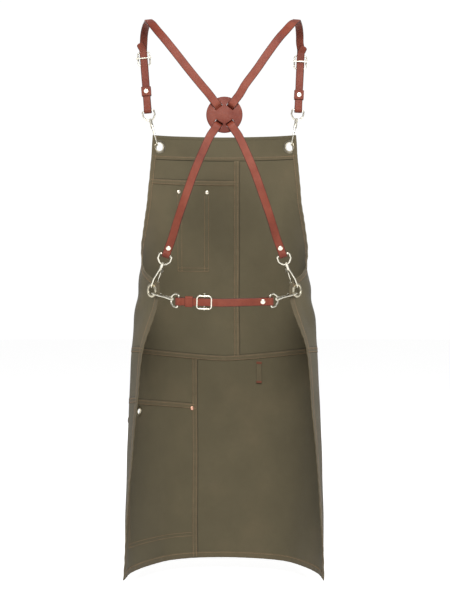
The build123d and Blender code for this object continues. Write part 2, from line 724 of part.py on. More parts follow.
# leather straps
end_rivet_reach = 14.0
end_rivet_planes = [
    Plane(origin=local(end, 0, 0, end_rivet_reach), x_dir=end.x_dir, z_dir=end.y_dir)
    for end in (waist_left_end, waist_right_end, belt_right_end)
]
with BuildPart() as shoulder_strap_left:
    add(strap_solid(shoulder_strap_stations(-1, bib_left_end, left_slider_reach, waist_right_end, -126.6)))
    add(holes([end_rivet_planes[1]], 1.7), mode=Mode.SUBTRACT)
shoulder_strap_left.part.label = "shoulder_strap_left"
export_step(shoulder_strap_left.part, "parts/shoulder_strap_left.step")

with BuildPart() as shoulder_strap_right:
    add(strap_solid(shoulder_strap_stations(1, bib_right_end, right_slider_reach, waist_left_end, -123.5)))
    add(holes([end_rivet_planes[0]], 1.7), mode=Mode.SUBTRACT)
shoulder_strap_right.part.label = "shoulder_strap_right"
export_step(shoulder_strap_right.part, "parts/shoulder_strap_right.step")

with BuildPart() as back_belt_strap:
    add(strap_solid(belt_stations()))
    add(holes([end_rivet_planes[2]], 1.7), mode=Mode.SUBTRACT)
back_belt_strap.part.label = "back_belt_strap"
export_step(back_belt_strap.part, "parts/back_belt_strap.step")

with BuildPart() as strap_end_rivets:
    for rivet_plane in end_rivet_planes:
        add(rivet_solid(rivet_plane, -2.95, 2.95, 1.5, strap_rivet_radius))
strap_end_rivets.part.label = "strap_end_rivets"
export_step(strap_end_rivets.part, "parts/strap_end_rivets.step")

patch_plane = Plane(origin=(0, patch_front_y, patch_z), x_dir=(1, 0, 0), z_dir=(0, 1, 0))
with BuildPart() as cross_patch:
    with BuildSketch(patch_plane):
        Circle(patch_radius)
        for slot_angle in (upper_strap_angle, -upper_strap_angle, 180 - lower_strap_angle,
                           180 + lower_strap_angle):
            with Locations((patch_slot_radius * sin(radians(slot_angle)),
                            -patch_slot_radius * cos(radians(slot_angle)))):
                Rectangle(strap_width + 1.2, patch_slot_width, rotation=slot_angle, mode=Mode.SUBTRACT)
    extrude(amount=patch_thickness)
cross_patch.part.label = "cross_patch"
export_step(cross_patch.part, "parts/cross_patch.step")

# keepers, their rivets and the sliders
adjusters = [
    ("left", bib_left_end, left_keeper_reach, front_keeper_length, left_slider_reach),
    ("right", bib_right_end, right_keeper_reach, front_keeper_length, right_slider_reach),
    ("belt", belt_left_end, belt_keeper_reach, belt_keeper_length, belt_slider_reach),
]
for place, end, keeper_reach, keeper_length, slider_reach in adjusters:
    with BuildPart() as keeper:
        add(keeper_solid(end, keeper_reach, keeper_length))
    keeper.part.label = f"keeper_{place}"
    export_step(keeper.part, f"parts/keeper_{place}.step")

    with BuildPart() as keeper_rivet:
        add(keeper_rivet_solid(end, keeper_reach))
    keeper_rivet.part.label = f"keeper_rivet_{place}"
    export_step(keeper_rivet.part, f"parts/keeper_rivet_{place}.step")

    with BuildPart() as slider_frame:
        add(slider_frame_solid(end, slider_reach))
    slider_frame.part.label = f"slider_frame_{place}"
    export_step(slider_frame.part, f"parts/slider_frame_{place}.step")

    with BuildPart() as slider_bar:
        add(slider_bar_solid(end, slider_reach))
    slider_bar.part.label = f"slider_bar_{place}"
    export_step(slider_bar.part, f"parts/slider_bar_{place}.step")

# snap hooks: a swivel eye, a hook and a gate each
hooks = [
    ("bib_left", bib_left_eye, bib_left_hook),
    ("bib_right", bib_right_eye, bib_right_hook),
    ("waist_left", waist_left_eye, waist_left_hook),
    ("waist_right", waist_right_eye, waist_right_hook),
    ("belt_left", belt_left_eye, belt_left_hook),
    ("belt_right", belt_right_eye, belt_right_hook),
]
for place, eye, hook in hooks:
    with BuildPart() as swivel_eye:
        add(swivel_eye_solid(eye))
    swivel_eye.part.label = f"eye_{place}"
    export_step(swivel_eye.part, f"parts/eye_{place}.step")

    with BuildPart() as hook_body:
        add(hook_solid(hook))
    hook_body.part.label = f"hook_{place}"
    export_step(hook_body.part, f"parts/hook_{place}.step")

    with BuildPart() as gate:
        add(gate_solid(hook))
    gate.part.label = f"gate_{place}"
    export_step(gate.part, f"parts/gate_{place}.step")
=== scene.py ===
import json
import math

import bpy
import numpy as np
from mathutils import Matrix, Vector


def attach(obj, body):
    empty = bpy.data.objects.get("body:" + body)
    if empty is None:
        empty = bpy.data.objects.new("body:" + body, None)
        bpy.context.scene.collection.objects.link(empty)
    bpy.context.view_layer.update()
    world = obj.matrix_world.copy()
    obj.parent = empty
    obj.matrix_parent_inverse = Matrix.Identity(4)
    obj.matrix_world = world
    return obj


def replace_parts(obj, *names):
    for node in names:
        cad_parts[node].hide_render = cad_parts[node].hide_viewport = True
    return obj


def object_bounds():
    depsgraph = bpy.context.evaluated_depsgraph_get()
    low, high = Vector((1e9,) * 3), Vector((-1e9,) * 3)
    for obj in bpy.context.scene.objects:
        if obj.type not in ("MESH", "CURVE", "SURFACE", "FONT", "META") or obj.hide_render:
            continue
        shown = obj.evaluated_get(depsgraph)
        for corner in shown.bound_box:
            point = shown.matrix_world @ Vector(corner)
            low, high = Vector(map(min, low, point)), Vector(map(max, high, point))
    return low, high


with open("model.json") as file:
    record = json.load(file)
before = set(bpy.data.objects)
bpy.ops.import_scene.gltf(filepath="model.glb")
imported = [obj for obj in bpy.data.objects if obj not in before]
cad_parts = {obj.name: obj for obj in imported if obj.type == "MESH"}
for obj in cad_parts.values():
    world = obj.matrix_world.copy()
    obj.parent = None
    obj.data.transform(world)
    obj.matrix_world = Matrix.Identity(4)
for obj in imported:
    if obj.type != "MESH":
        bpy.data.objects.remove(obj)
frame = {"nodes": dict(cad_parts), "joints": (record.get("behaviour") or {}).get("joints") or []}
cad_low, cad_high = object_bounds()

# Butcher apron: canvas with seams, hems and stitching, leather harness, metal fittings.
# Sizes here are in millimetres, in the CAD frame, and become metres when a mesh is made.
MM = 0.001

# ---- the canvas
CANVAS_THICKNESS = 1.0
BIB_TOP_Z, BAND_SEAM_Z, YOKE_SEAM_Z, HEM_Z = -206.0, -252.0, -293.0, -1045.0
WAIST_SEAM_Z, WAIST_SEAM_RISE = -643.0, 25.0
HIP_SEAM_Z, HIP_SEAM_RISE = -739.0, 30.0
BIB_SEAM_S, SKIRT_SEAM_S = 29.0, -55.0
WAIST_TIP_Z = -499.5
PEN_POCKET_S, PEN_POCKET_Z = (-97.0, -30.0), (-476.0, -311.0)
HIP_POCKET_S, HIP_POCKET_Z = (-236.0, -60.0), (-1003.0, -741.5)
TOOL_LOOP_S, TOOL_LOOP_Z = (65.0, 75.0), (-697.0, -653.0)
BIB_GROMMET_S, BIB_GROMMET_Z = 133.5, -228.0
WAIST_GROMMET_FROM_EDGE, WAIST_GROMMET_Z = 20.0, -513.0
TOWEL_S, TOWEL_Z = -194.0, -745.0
PEN_RIVETS_S, RIVET_DROP = (-92.0, -35.0), 5.0
# radius of each eyelet's hole and flange
LARGE_EYELET, SMALL_EYELET = (8.5, 13.5), (5.0, 10.0)
FRONT_MIDDLE_Y = 115.0
# height, then x and y at each fifth of the way from front middle to side edge
SECTIONS = np.array([
    (-196, 61.8, 109.2, 121.0, 92.8, 173.4, 58.0, 204.0, 3.0, 215.0, -59.0),
    (-255, 61.8, 109.0, 121.0, 91.8, 172.0, 55.6, 200.0, -0.5, 209.0, -62.0),
    (-305, 61.8, 107.8, 120.5, 86.4, 168.0, 46.0, 193.0, -11.5, 196.0, -74.0),
    (-355, 61.5, 106.2, 119.0, 81.0, 161.5, 35.0, 180.0, -25.0, 176.0, -87.0),
    (-405, 61.2, 106.2, 117.6, 78.4, 154.0, 28.0, 166.0, -33.0, 151.0, -93.5),
    (-455, 61.0, 106.5, 117.0, 78.0, 151.5, 27.6, 154.0, -35.0, 128.0, -91.0),
    (-490, 61.0, 107.0, 117.0, 79.5, 154.0, 30.5, 155.5, -34.6, 121.5, -87.5),
    (-516, 61.0, 107.0, 117.5, 80.0, 157.0, 31.0, 159.0, -34.0, 119.0, -85.0),
    (-534, 61.0, 107.0, 118.0, 80.0, 157.4, 31.4, 162.0, -32.0, 121.0, -83.5),
    (-569, 61.0, 107.0, 118.0, 80.0, 158.0, 32.0, 168.5, -26.0, 132.0, -80.0),
    (-626, 61.0, 107.0, 118.0, 80.0, 158.5, 34.0, 174.0, -23.0, 150.0, -79.0),
    (-721, 61.0, 107.5, 118.0, 81.0, 159.5, 36.0, 179.0, -20.0, 159.0, -79.0),
    (-861, 60.0, 108.0, 116.0, 82.0, 159.0, 38.0, 183.5, -18.0, 171.0, -78.0),
    (-989, 60.0, 108.0, 115.0, 82.0, 157.0, 38.0, 183.0, -17.0, 180.0, -77.0),
    (-1045, 58.0, 108.0, 112.0, 82.0, 151.0, 37.0, 175.0, -18.0, 183.5, -76.0),
])
# side view of the bib's edge from its top to the waist tip, y and z
ARMHOLE = np.array([
    (83.0, -190.0), (82.0, -215.0), (79.0, -255.0), (67.0, -305.0), (50.0, -355.0),
    (22.0, -405.0), (-6.0, -440.0), (-32.0, -463.0), (-54.0, -479.0), (-70.0, -490.0),
    (-84.0, -499.5),
])


def cubic_weights(t):
    """Weights of a cubic's two end values and two end slopes, at t from 0 to 1."""
    return 2 * t**3 - 3 * t**2 + 1, 3 * t**2 - 2 * t**3, t**3 - 2 * t**2 + t, t**3 - t**2


def smooth(knots, rows, at):
    """Cubic curve through the rows, read at an array of places."""
    knots, rows, at = (np.asarray(v, float) for v in (knots, rows, at))
    last = len(knots) - 1
    index = np.arange(last + 1)
    before, after = np.maximum(index - 1, 0), np.minimum(index + 1, last)
    extra = (1,) * (rows.ndim - 1)
    slope = (rows[after] - rows[before]) / (knots[after] - knots[before]).reshape(-1, *extra)
    k = np.clip(np.searchsorted(knots, at) - 1, 0, last - 1)
    span = (knots[k + 1] - knots[k]).reshape(k.shape + extra)
    t = (at - knots[k]).reshape(k.shape + extra) / span
    low, high, slope_low, slope_high = cubic_weights(t)
    start = low * rows[k] + slope_low * span * slope[k]
    return start + (high * rows[k + 1] + slope_high * span * slope[k + 1])


def outline(z):
    """Points of the right half of the apron at each height, front middle first."""
    points = smooth(-SECTIONS[:, 0], SECTIONS[:, 1:], -z).reshape(z.shape + (5, 2))
    middle = np.zeros(z.shape + (1, 2))
    middle[..., 1] = FRONT_MIDDLE_Y
    return np.concatenate([middle, points], axis=-2)


def half_girth(z):
    """Length of canvas from the front middle to the full width at each height."""
    return np.linalg.norm(np.diff(outline(np.asarray(z, float)), axis=-2), axis=-1).sum(-1)


def canvas(s, z):
    """Points on the wearer's face of the plain canvas, s along the cloth from the front middle."""
    s, z = np.broadcast_arrays(np.asarray(s, float), np.asarray(z, float))
    right = outline(z)
    row = np.concatenate([right[..., :0:-1, :] * (-1, 1), right], axis=-2)
    girth = np.linalg.norm(np.diff(right, axis=-2), axis=-1).sum(-1)
    at = 5 + 5 * s / girth
    k = np.clip(np.ceil(at).astype(int) - 1, 0, 9)
    t = (at - k)[..., None]

    def pick(i):
        return np.take_along_axis(row, np.clip(i, 0, 10)[..., None, None], axis=-2)[..., 0, :]

    def slope(i):
        low, high = np.maximum(i - 1, 0), np.minimum(i + 1, 10)
        return (pick(high) - pick(low)) / (high - low)[..., None]

    low, high, slope_low, slope_high = cubic_weights(t)
    xy = low * pick(k) + slope_low * slope(k) + high * pick(k + 1) + slope_high * slope(k + 1)
    return np.concatenate([xy, z[..., None]], axis=-1)


def unit(v):
    """Each vector made one long."""
    v = np.asarray(v, float)
    return v / np.linalg.norm(v, axis=-1, keepdims=True)


def edge(z):
    """Distance along the cloth from the front middle to the real side edge at each height."""
    z = np.asarray(z, float)
    full = half_girth(z)
    limit = smooth(-ARMHOLE[:, 1], ARMHOLE[:, 0], -np.maximum(z, WAIST_TIP_Z))
    low, high = np.zeros_like(full), full.copy()
    for _ in range(24):
        middle = (low + high) / 2
        inside = canvas(middle, z)[..., 1] > limit
        low, high = np.where(inside, middle, low), np.where(inside, high, middle)
    return np.where(z > WAIST_TIP_Z, low, full)


def waist_seam(s):
    """Height of the waist seam along the cloth."""
    share = np.minimum(np.abs(s) / 306.0, 1.0)
    return WAIST_SEAM_Z + WAIST_SEAM_RISE * np.sin(np.radians(90 * share)) ** 1.5


def hip_seam(s):
    """Height of the seam between the two left skirt panels."""
    return HIP_SEAM_Z + HIP_SEAM_RISE * (np.abs(s) + SKIRT_SEAM_S) / 250.0


# places where the cloth is pinned flat by metal: s, z, radius of the calm patch
PINNED = [
    (-BIB_GROMMET_S, BIB_GROMMET_Z, 30.0), (BIB_GROMMET_S, BIB_GROMMET_Z, 30.0),
    (TOWEL_S, TOWEL_Z, 24.0),
    *((s, PEN_POCKET_Z[1] - RIVET_DROP, 12.0) for s in PEN_RIVETS_S),
    (HIP_POCKET_S[1] - RIVET_DROP, HIP_POCKET_Z[1] - RIVET_DROP, 12.0),
]


def drape(s, z):
    """How far the cloth stands off its plain curve, outwards: folds, drag lines and seam pucker."""
    skirt = np.clip((-z - 640) / 380, 0, 1)
    bib = np.clip((z + 640) / 300, 0, 1)
    tip_s = half_girth(np.array(WAIST_GROMMET_Z)) - WAIST_GROMMET_FROM_EDGE
    off = 1.9 * skirt * np.sin(s / 33 + 0.9 + z / 310)
    off += 1.1 * skirt * np.sin(s / 19 - z / 205 + 2.1)
    off += 0.55 * np.sin(s / 27 + z / 47 + 1.3) * np.sin(z / 61 - s / 83)
    off += 0.35 * np.sin(s / 13.5 - z / 29) * np.sin(z / 37 + s / 41 + 0.7)
    off += 0.7 * bib * np.sin(s / 46 + z / 120 + 2.6)
    for side in (-1, 1):  # drag lines that run from each waist tip
        ds, dz = s - side * tip_s, z - WAIST_GROMMET_Z
        reach = np.hypot(ds, dz)
        angle = np.arctan2(dz, -side * ds)
        fade = np.exp(-((reach - 75) / 60) ** 2)
        off += 1.5 * fade * np.sin(7 * angle + 0.6 * side) * np.clip(reach / 60, 0, 1)
        off *= 1 - np.exp(-((reach / 30) ** 2))
    for seam in (waist_seam(s), np.where(s < SKIRT_SEAM_S, hip_seam(s), 1e4),
                 np.where(s < BIB_SEAM_S, YOKE_SEAM_Z, 1e4)):
        near = np.exp(-(((z - seam + 3) / 13) ** 2))
        off += 0.3 * near * np.sin(s / 2.7 + 1.4 * np.sin(s / 23)) * (0.6 + 0.4 * np.sin(s / 31))
    for seam, low, high in ((BIB_SEAM_S, -640, BAND_SEAM_Z), (SKIRT_SEAM_S, HEM_Z, -640)):
        near = np.exp(-(((s - seam + 5) / 13) ** 2)) * (z > low) * (z < high)
        off += 0.28 * near * np.sin(z / 2.9 + 1.2 * np.sin(z / 27))
    rim = np.exp(-(((edge(z) - np.abs(s)) / 13) ** 2))
    off += 0.35 * rim * np.sin(z / 3.1 + np.sin(z / 19) + np.sign(s))
    off += 0.3 * np.exp(-(((z - HEM_Z) / 14) ** 2)) * np.sin(s / 3.0 + np.sin(s / 29))
    for pin_s, pin_z, radius in PINNED:
        off *= 1 - np.exp(-(((s - pin_s) ** 2 + (z - pin_z) ** 2) / radius**2) ** 2)
    return off


def cloth(s, z, lift):
    """Points of the draped cloth, lifted outwards from the wearer's face."""
    s, z = np.broadcast_arrays(np.asarray(s, float), np.asarray(z, float))
    return canvas(s, z) + outwards(s, z) * (np.asarray(lift) + drape(s, z))[..., None]


def outwards(s, z):
    """Direction out of the apron at each point of the plain canvas."""
    along = canvas(s + 1.0, z) - canvas(s - 1.0, z)
    up = canvas(s, z + 1.0) - canvas(s, z - 1.0)
    return unit(np.cross(up, along))


# ---- meshes
def mesh_object(name, points, faces, materials, uv=None, kinds=None, flat=False):
    """An object from points in millimetres, with a uv in metres and a material number per face."""
    mesh = bpy.data.meshes.new(name)
    mesh.from_pydata((np.asarray(points).reshape(-1, 3) * MM).tolist(), [], [list(f) for f in faces])
    for material in materials:
        mesh.materials.append(material)
    if kinds is not None:
        mesh.polygons.foreach_set("material_index", np.asarray(kinds, np.int32))
    if uv is not None:
        layer = mesh.uv_layers.new(name="UVMap")
        corner = np.zeros(len(mesh.loops), np.int32)
        mesh.loops.foreach_get("vertex_index", corner)
        layer.data.foreach_set("uv", (np.asarray(uv)[corner] * MM).astype(np.float32).ravel())
    mesh.polygons.foreach_set("use_smooth", np.full(len(mesh.polygons), not flat))
    mesh.update()
    obj = bpy.data.objects.new(name, mesh)
    bpy.context.scene.collection.objects.link(obj)
    return obj


def grid_faces(rows, columns, wrap=False):
    """Quads of a grid of rows and columns of points, closed round the columns with wrap."""
    i, j = np.meshgrid(np.arange(rows - 1), np.arange(columns if wrap else columns - 1), indexing="ij")
    right = (j + 1) % columns
    return np.stack([i * columns + j, i * columns + right, (i + 1) * columns + right,
                     (i + 1) * columns + j], axis=-1).reshape(-1, 4)


def tube_faces(rows, columns, closed=False):
    """Faces of rings of points in a row, the end rings capped, or joined to each other when closed."""
    faces = [list(f) for f in grid_faces(rows, columns, wrap=True)]
    last = (rows - 1) * columns
    if closed:
        return faces + [[last + k, last + (k + 1) % columns, (k + 1) % columns, k] for k in range(columns)]
    return faces + [list(range(columns))[::-1], [last + k for k in range(columns)]]


def cloth_panel(name, left, right, bottom, top, material, lift=0.0, step=3.0, bulge=None, holes=()):
    """Closed thin sheet between two lines along the cloth and two heights, each a function."""
    middle = float((bottom(np.array(0.0)) + top(np.array(0.0))) / 2)
    height = abs(float(top(np.array(0.0)) - bottom(np.array(0.0))))
    width = float(right(np.array(middle)) - left(np.array(middle)))
    rows, columns = int(height / step) + 2, int(width / step) + 2
    q, p = np.meshgrid(np.linspace(0, 1, rows), np.linspace(0, 1, columns), indexing="ij")
    z = np.full(q.shape, middle)
    for _ in range(4):
        s = left(z) * (1 - p) + right(z) * p
        z = bottom(s) + (top(s) - bottom(s)) * q
    s = left(z) * (1 - p) + right(z) * p
    swell = bulge(p, q) if bulge else 0.0
    inner, outer = cloth(s, z, lift + swell), cloth(s, z, lift + CANVAS_THICKNESS + swell)
    count = rows * columns
    points = np.concatenate([inner.reshape(-1, 3), outer.reshape(-1, 3)])
    uv = np.stack([s, z], axis=-1).reshape(-1, 2)
    quads = grid_faces(rows, columns)
    for hole_s, hole_z, radius in holes:
        inside = np.hypot(uv[:, 0] - hole_s, uv[:, 1] - hole_z) < radius
        quads = quads[~inside[quads].any(axis=1)]
    start, finish = quads.ravel(), np.roll(quads, -1, axis=1).ravel()
    lone = ~np.isin(start * count + finish, finish * count + start)
    start, finish = start[lone], finish[lone]
    around = np.stack([finish, start, start + count, finish + count], axis=-1)
    faces = np.concatenate([quads, quads[:, ::-1] + count, around])
    obj = mesh_object(name, points, faces, [material], uv=np.concatenate([uv, uv]))
    cells = np.cross(np.diff(inner, axis=0)[:, :-1], np.diff(inner, axis=1)[:-1])
    obj["flat_area"] = float(np.linalg.norm(cells, axis=-1).sum()) * MM * MM
    obj["flat_width"] = float((s.max() - s.min()) * MM)
    obj["flat_length"] = float((z.max() - z.min()) * MM)
    return obj


def fixed(value):
    """Boundary that stays at one value."""
    return lambda at: np.full(np.shape(at), float(value))


def across_middle(points):
    return [(-a, b) for a, b in points[::-1]]


def strip(name, s, z, width, material, inner=0.9, outer=0.45, step=2.5):
    """Raised band of cloth along a path on the canvas, closed right through the canvas."""
    s, z = even(s, z, step)
    ds, dz = np.gradient(s), np.gradient(z)
    size = np.hypot(ds, dz)
    ns, nz = -dz / size, ds / size
    half = width / 2
    if width < 3:
        section = [(-half, 0.2), (-half, -inner), (half, -inner), (half, 0.2),
                   (half, 0.8), (half, 1 + outer), (-half, 1 + outer), (-half, 0.8)]
    else:
        low = [(-half, 0.1), (-half + 0.15, -inner * 0.65), (-half + 0.8, -inner), (-half / 3, -inner * 1.06)]
        high = [(half, 0.9), (half - 0.15, 1 + outer * 0.6), (half - 0.8, 1 + outer)]
        section = low + across_middle(low) + high + [(0.0, 1 + outer * 1.05)] + across_middle(high)
    across = np.array([a for a, _ in section])
    lift = np.array([b for _, b in section])
    ss = s[:, None] + ns[:, None] * across
    zz = z[:, None] + nz[:, None] * across
    points = cloth(ss, zz, np.broadcast_to(lift, ss.shape))
    uv = np.stack([ss, zz], axis=-1).reshape(-1, 2)
    return mesh_object(name, points, tube_faces(len(s), len(section)), [material], uv=uv)


def even(s, z, step):
    """The same path with points an even step apart."""
    s, z = np.asarray(s, float), np.asarray(z, float)
    length = np.concatenate([[0], np.cumsum(np.hypot(np.diff(s), np.diff(z)))])
    at = np.linspace(0, length[-1], max(int(length[-1] / step), 2) + 1)
    return np.interp(at, length, s), np.interp(at, length, z)


def offset_path(s, z, distance):
    """The path moved sideways in the cloth."""
    s, z = even(s, z, 2.0)
    ds, dz = np.gradient(s), np.gradient(z)
    size = np.hypot(ds, dz)
    return s - dz / size * distance, z + ds / size * distance


STITCH_LENGTH, STITCH_PITCH, THREAD = 2.9, 3.7, 0.5


EYELET_CLEAR = 16.5   # no thread runs under a bib eyelet's flange


def stitches(rows, lift_in, lift_out):
    """Points and faces of short thread loops along the rows, on the wearer's face and outside."""
    turns = np.arange(6) * math.pi / 3
    rings = ((-1.0, 0.35, -0.3), (-0.55, 0.95, 0.0), (0.55, 0.95, 0.0), (1.0, 0.35, -0.3))
    capsule = np.array([
        (x * STITCH_LENGTH / 2, math.cos(a) * r * THREAD, math.sin(a) * r * THREAD + dip)
        for x, r, dip in rings for a in turns])
    quads = grid_faces(4, 6, wrap=True)
    points, faces, total = [], [], 0
    for s, z in rows:
        s, z = even(s, z, STITCH_PITCH)
        ds, dz = np.diff(s), np.diff(z)
        s, z = (s[1:] + s[:-1]) / 2, (z[1:] + z[:-1]) / 2
        free = np.hypot(np.abs(s) - BIB_GROMMET_S, z - BIB_GROMMET_Z) > EYELET_CLEAR
        s, z, ds, dz = s[free], z[free], ds[free], dz[free]
        size = np.hypot(ds, dz)
        out = outwards(s, z)
        for sign, lift in ((-1, lift_in), (1, lift_out)):
            here = cloth(s, z, lift)
            ahead = unit(cloth(s + ds / size, z + dz / size, lift) - here)
            side = unit(np.cross(out * sign, ahead))
            up = np.cross(ahead, side)
            block = (here[:, None] + ahead[:, None] * capsule[:, :1]
                     + side[:, None] * capsule[:, 1:2] + up[:, None] * capsule[:, 2:])
            base = total + np.arange(len(s)) * len(capsule)
            points.append(block.reshape(-1, 3))
            faces.append((base[:, None, None] + quads).reshape(-1, 4))
            total += len(s) * len(capsule)
    return np.concatenate(points), np.concatenate(faces)


# ---- materials
WEAVE_PITCH = 0.9


def nodes_of(name):
    """A new material, its node tree and its Principled shader."""
    material = bpy.data.materials.new(name)
    material.use_nodes = True
    return material, material.node_tree, material.node_tree.nodes["Principled BSDF"]


def feed(tree, socket, value):
    """Links a socket's value, or sets it when it is a plain one."""
    if isinstance(value, bpy.types.NodeSocket):
        tree.links.new(value, socket)
    else:
        socket.default_value = value


def add_node(tree, kind, inputs=None, **settings):
    node = tree.nodes.new(kind)
    for key, value in settings.items():
        setattr(node, key, value)
    for key, value in (inputs or {}).items():
        feed(tree, node.inputs[key], value)
    return node


def object_place(tree):
    return add_node(tree, "ShaderNodeTexCoord").outputs["Object"]


def stretched(tree, vector, scale):
    return add_node(tree, "ShaderNodeMapping", {"Vector": vector, "Scale": scale}).outputs[0]


def noise(tree, vector, scale, detail=3.0, rough=0.5):
    inputs = {"Vector": vector, "Scale": scale, "Detail": detail, "Roughness": rough}
    return add_node(tree, "ShaderNodeTexNoise", inputs).outputs["Fac"]


def math_node(tree, operation, *values):
    return add_node(tree, "ShaderNodeMath", dict(enumerate(values)), operation=operation).outputs[0]


def ramp(tree, value, stops):
    node = add_node(tree, "ShaderNodeValToRGB", {"Fac": value})
    elements = node.color_ramp.elements
    while len(elements) < len(stops):
        elements.new(0.5)
    for element, (place, colour) in zip(elements, stops):
        element.position = place
        element.color = (*colour, 1.0)
    return node.outputs["Color"]


def mix(tree, kind, factor, a, b):
    node = add_node(tree, "ShaderNodeMix", data_type="RGBA", blend_type=kind)
    for key, value in ((0, factor), (6, a), (7, b)):
        feed(tree, node.inputs[key], value)
    return node.outputs[2]


def bump(tree, height, strength, distance, **more):
    inputs = {"Height": height, "Strength": strength, "Distance": distance, **more}
    return add_node(tree, "ShaderNodeBump", inputs).outputs[0]


def wire(tree, shader, colour, rough, normal):
    """Gives the shader its varying colour, roughness and normal."""
    for socket, source in (("Base Color", colour), ("Roughness", rough), ("Normal", normal)):
        tree.links.new(source, shader.inputs[socket])


def grey(value):
    return (value, value, value)


def shade(colour, factor):
    return tuple(c * factor for c in colour)


def canvas_material(name, colour, warm, wear=0.5):
    """Waxed canvas: plain weave with uneven threads, cloudy colour and worn high spots."""
    material, tree, shader = nodes_of(name)
    uv = add_node(tree, "ShaderNodeUVMap", uv_map="UVMap").outputs["UV"]
    place = object_place(tree)
    parts = add_node(tree, "ShaderNodeSeparateXYZ", {0: uv}).outputs
    turn = 2 * math.pi / (WEAVE_PITCH * MM)
    warp, weft = (math_node(tree, "SINE", math_node(tree, "MULTIPLY", parts[k], turn)) for k in (0, 1))
    weave = math_node(tree, "MULTIPLY", warp, weft)
    slub = math_node(tree, "ADD", *(noise(tree, stretched(tree, uv, scale), 1.0, 2.0)
                                    for scale in ((60, 1400, 1), (1400, 60, 1))))
    cloud = noise(tree, place, 9.0, 4.0, 0.55)
    blotch = noise(tree, place, 38.0, 5.0, 0.65)
    base = ramp(tree, cloud, [(0.30, shade(colour, 0.88)), (0.52, colour), (0.72, warm)])
    threads = ramp(tree, slub, [(0.55, grey(0.86)), (1.0, grey(1.0)), (1.35, grey(1.0))])
    base = mix(tree, "MULTIPLY", 0.75, base, threads)
    rubbed = math_node(tree, "MULTIPLY", ramp(tree, blotch, [(0.56, grey(0)), (0.80, grey(1))]), 0.10 * wear)
    base = mix(tree, "SCREEN", rubbed, base, (*shade(warm, 1.6), 1))
    dots = math_node(tree, "MULTIPLY_ADD", weave, 0.06, 0.97)
    tint = add_node(tree, "ShaderNodeCombineColor", {0: dots, 1: dots, 2: dots}).outputs[0]
    base = mix(tree, "MULTIPLY", 1.0, base, tint)
    shader.inputs["Sheen Weight"].default_value = 0.12
    shader.inputs["Sheen Roughness"].default_value = 0.55
    shader.inputs["Specular IOR Level"].default_value = 0.3
    yarn = bump(tree, math_node(tree, "MULTIPLY_ADD", slub, 0.7, weave), 0.4, 0.00016)
    wax = bump(tree, noise(tree, place, 90.0, 5.0, 0.6), 0.35, 0.0006, Normal=yarn)
    wire(tree, shader, base, math_node(tree, "MULTIPLY_ADD", blotch, 0.22, 0.66), wax)
    return material


def leather_material(name, dark, colour, light, rough=0.46, grain=0.5, scale=1500.0):
    """Strap leather: pebbled grain, creases, cloudy dye and a soft polish."""
    material, tree, shader = nodes_of(name)
    place = object_place(tree)
    wander = add_node(tree, "ShaderNodeTexNoise", {"Vector": place, "Scale": scale * 0.6, "Detail": 2.0})
    bent = mix(tree, "LINEAR_LIGHT", 0.0016, place, wander.outputs["Color"])
    cells = add_node(tree, "ShaderNodeTexVoronoi", {"Vector": bent, "Scale": scale},
                     feature="DISTANCE_TO_EDGE")
    pebble = ramp(tree, cells.outputs["Distance"], [(0.0, grey(0.25)), (0.3, grey(1))])
    cloud = noise(tree, place, 26.0, 5.0, 0.6)
    fine = noise(tree, place, 420.0, 4.0, 0.6)
    crease = noise(tree, stretched(tree, place, (1, 1, 2.4)), 150.0, 4.0, 0.65)
    base = ramp(tree, cloud, [(0.28, dark), (0.5, colour), (0.74, light)])
    base = mix(tree, "MULTIPLY", 0.22, base, pebble)
    base = mix(tree, "MULTIPLY", 0.6, base, ramp(tree, fine, [(0.35, (0.82, 0.8, 0.8)), (0.6, grey(1))]))
    shader.inputs["Specular IOR Level"].default_value = 0.32
    height = math_node(tree, "MULTIPLY_ADD", pebble, 0.6, math_node(tree, "MULTIPLY", crease, 1.2))
    wire(tree, shader, base, math_node(tree, "MULTIPLY_ADD", fine, 0.25, rough - 0.12),
         bump(tree, height, grain, 0.00035))
    return material


def metal_material(name, colour, rough=0.24, tarnish=0.35):
    """Plated metal: satin with fine brush marks, cloudy tarnish and small dents."""
    material, tree, shader = nodes_of(name)
    place = object_place(tree)
    cloud = noise(tree, place, 140.0, 5.0, 0.6)
    brush = noise(tree, stretched(tree, place, (1, 1, 14)), 260.0, 3.0, 0.5)
    base = ramp(tree, cloud, [(0.30, shade(colour, 1 - tarnish)), (0.55, colour), (0.8, shade(colour, 1.1))])
    shader.inputs["Metallic"].default_value = 1.0
    wire(tree, shader, base, math_node(tree, "MULTIPLY_ADD", cloud, 0.22, rough - 0.08),
         bump(tree, math_node(tree, "ADD", brush, cloud), 0.12, 0.0002))
    return material


def thread_material(name, colour):
    """Waxed thread with a fine twist."""
    material, tree, shader = nodes_of(name)
    place = object_place(tree)
    twist = noise(tree, place, 1500.0, 2.0)
    base = ramp(tree, noise(tree, place, 55.0), [(0.35, shade(colour, 0.72)), (0.65, colour)])
    base = mix(tree, "MULTIPLY", 0.6, base, ramp(tree, twist, [(0.3, grey(0.7)), (0.7, grey(1))]))
    wire(tree, shader, base, math_node(tree, "MULTIPLY_ADD", twist, 0.2, 0.5),
         bump(tree, twist, 0.4, 0.0001))
    return material


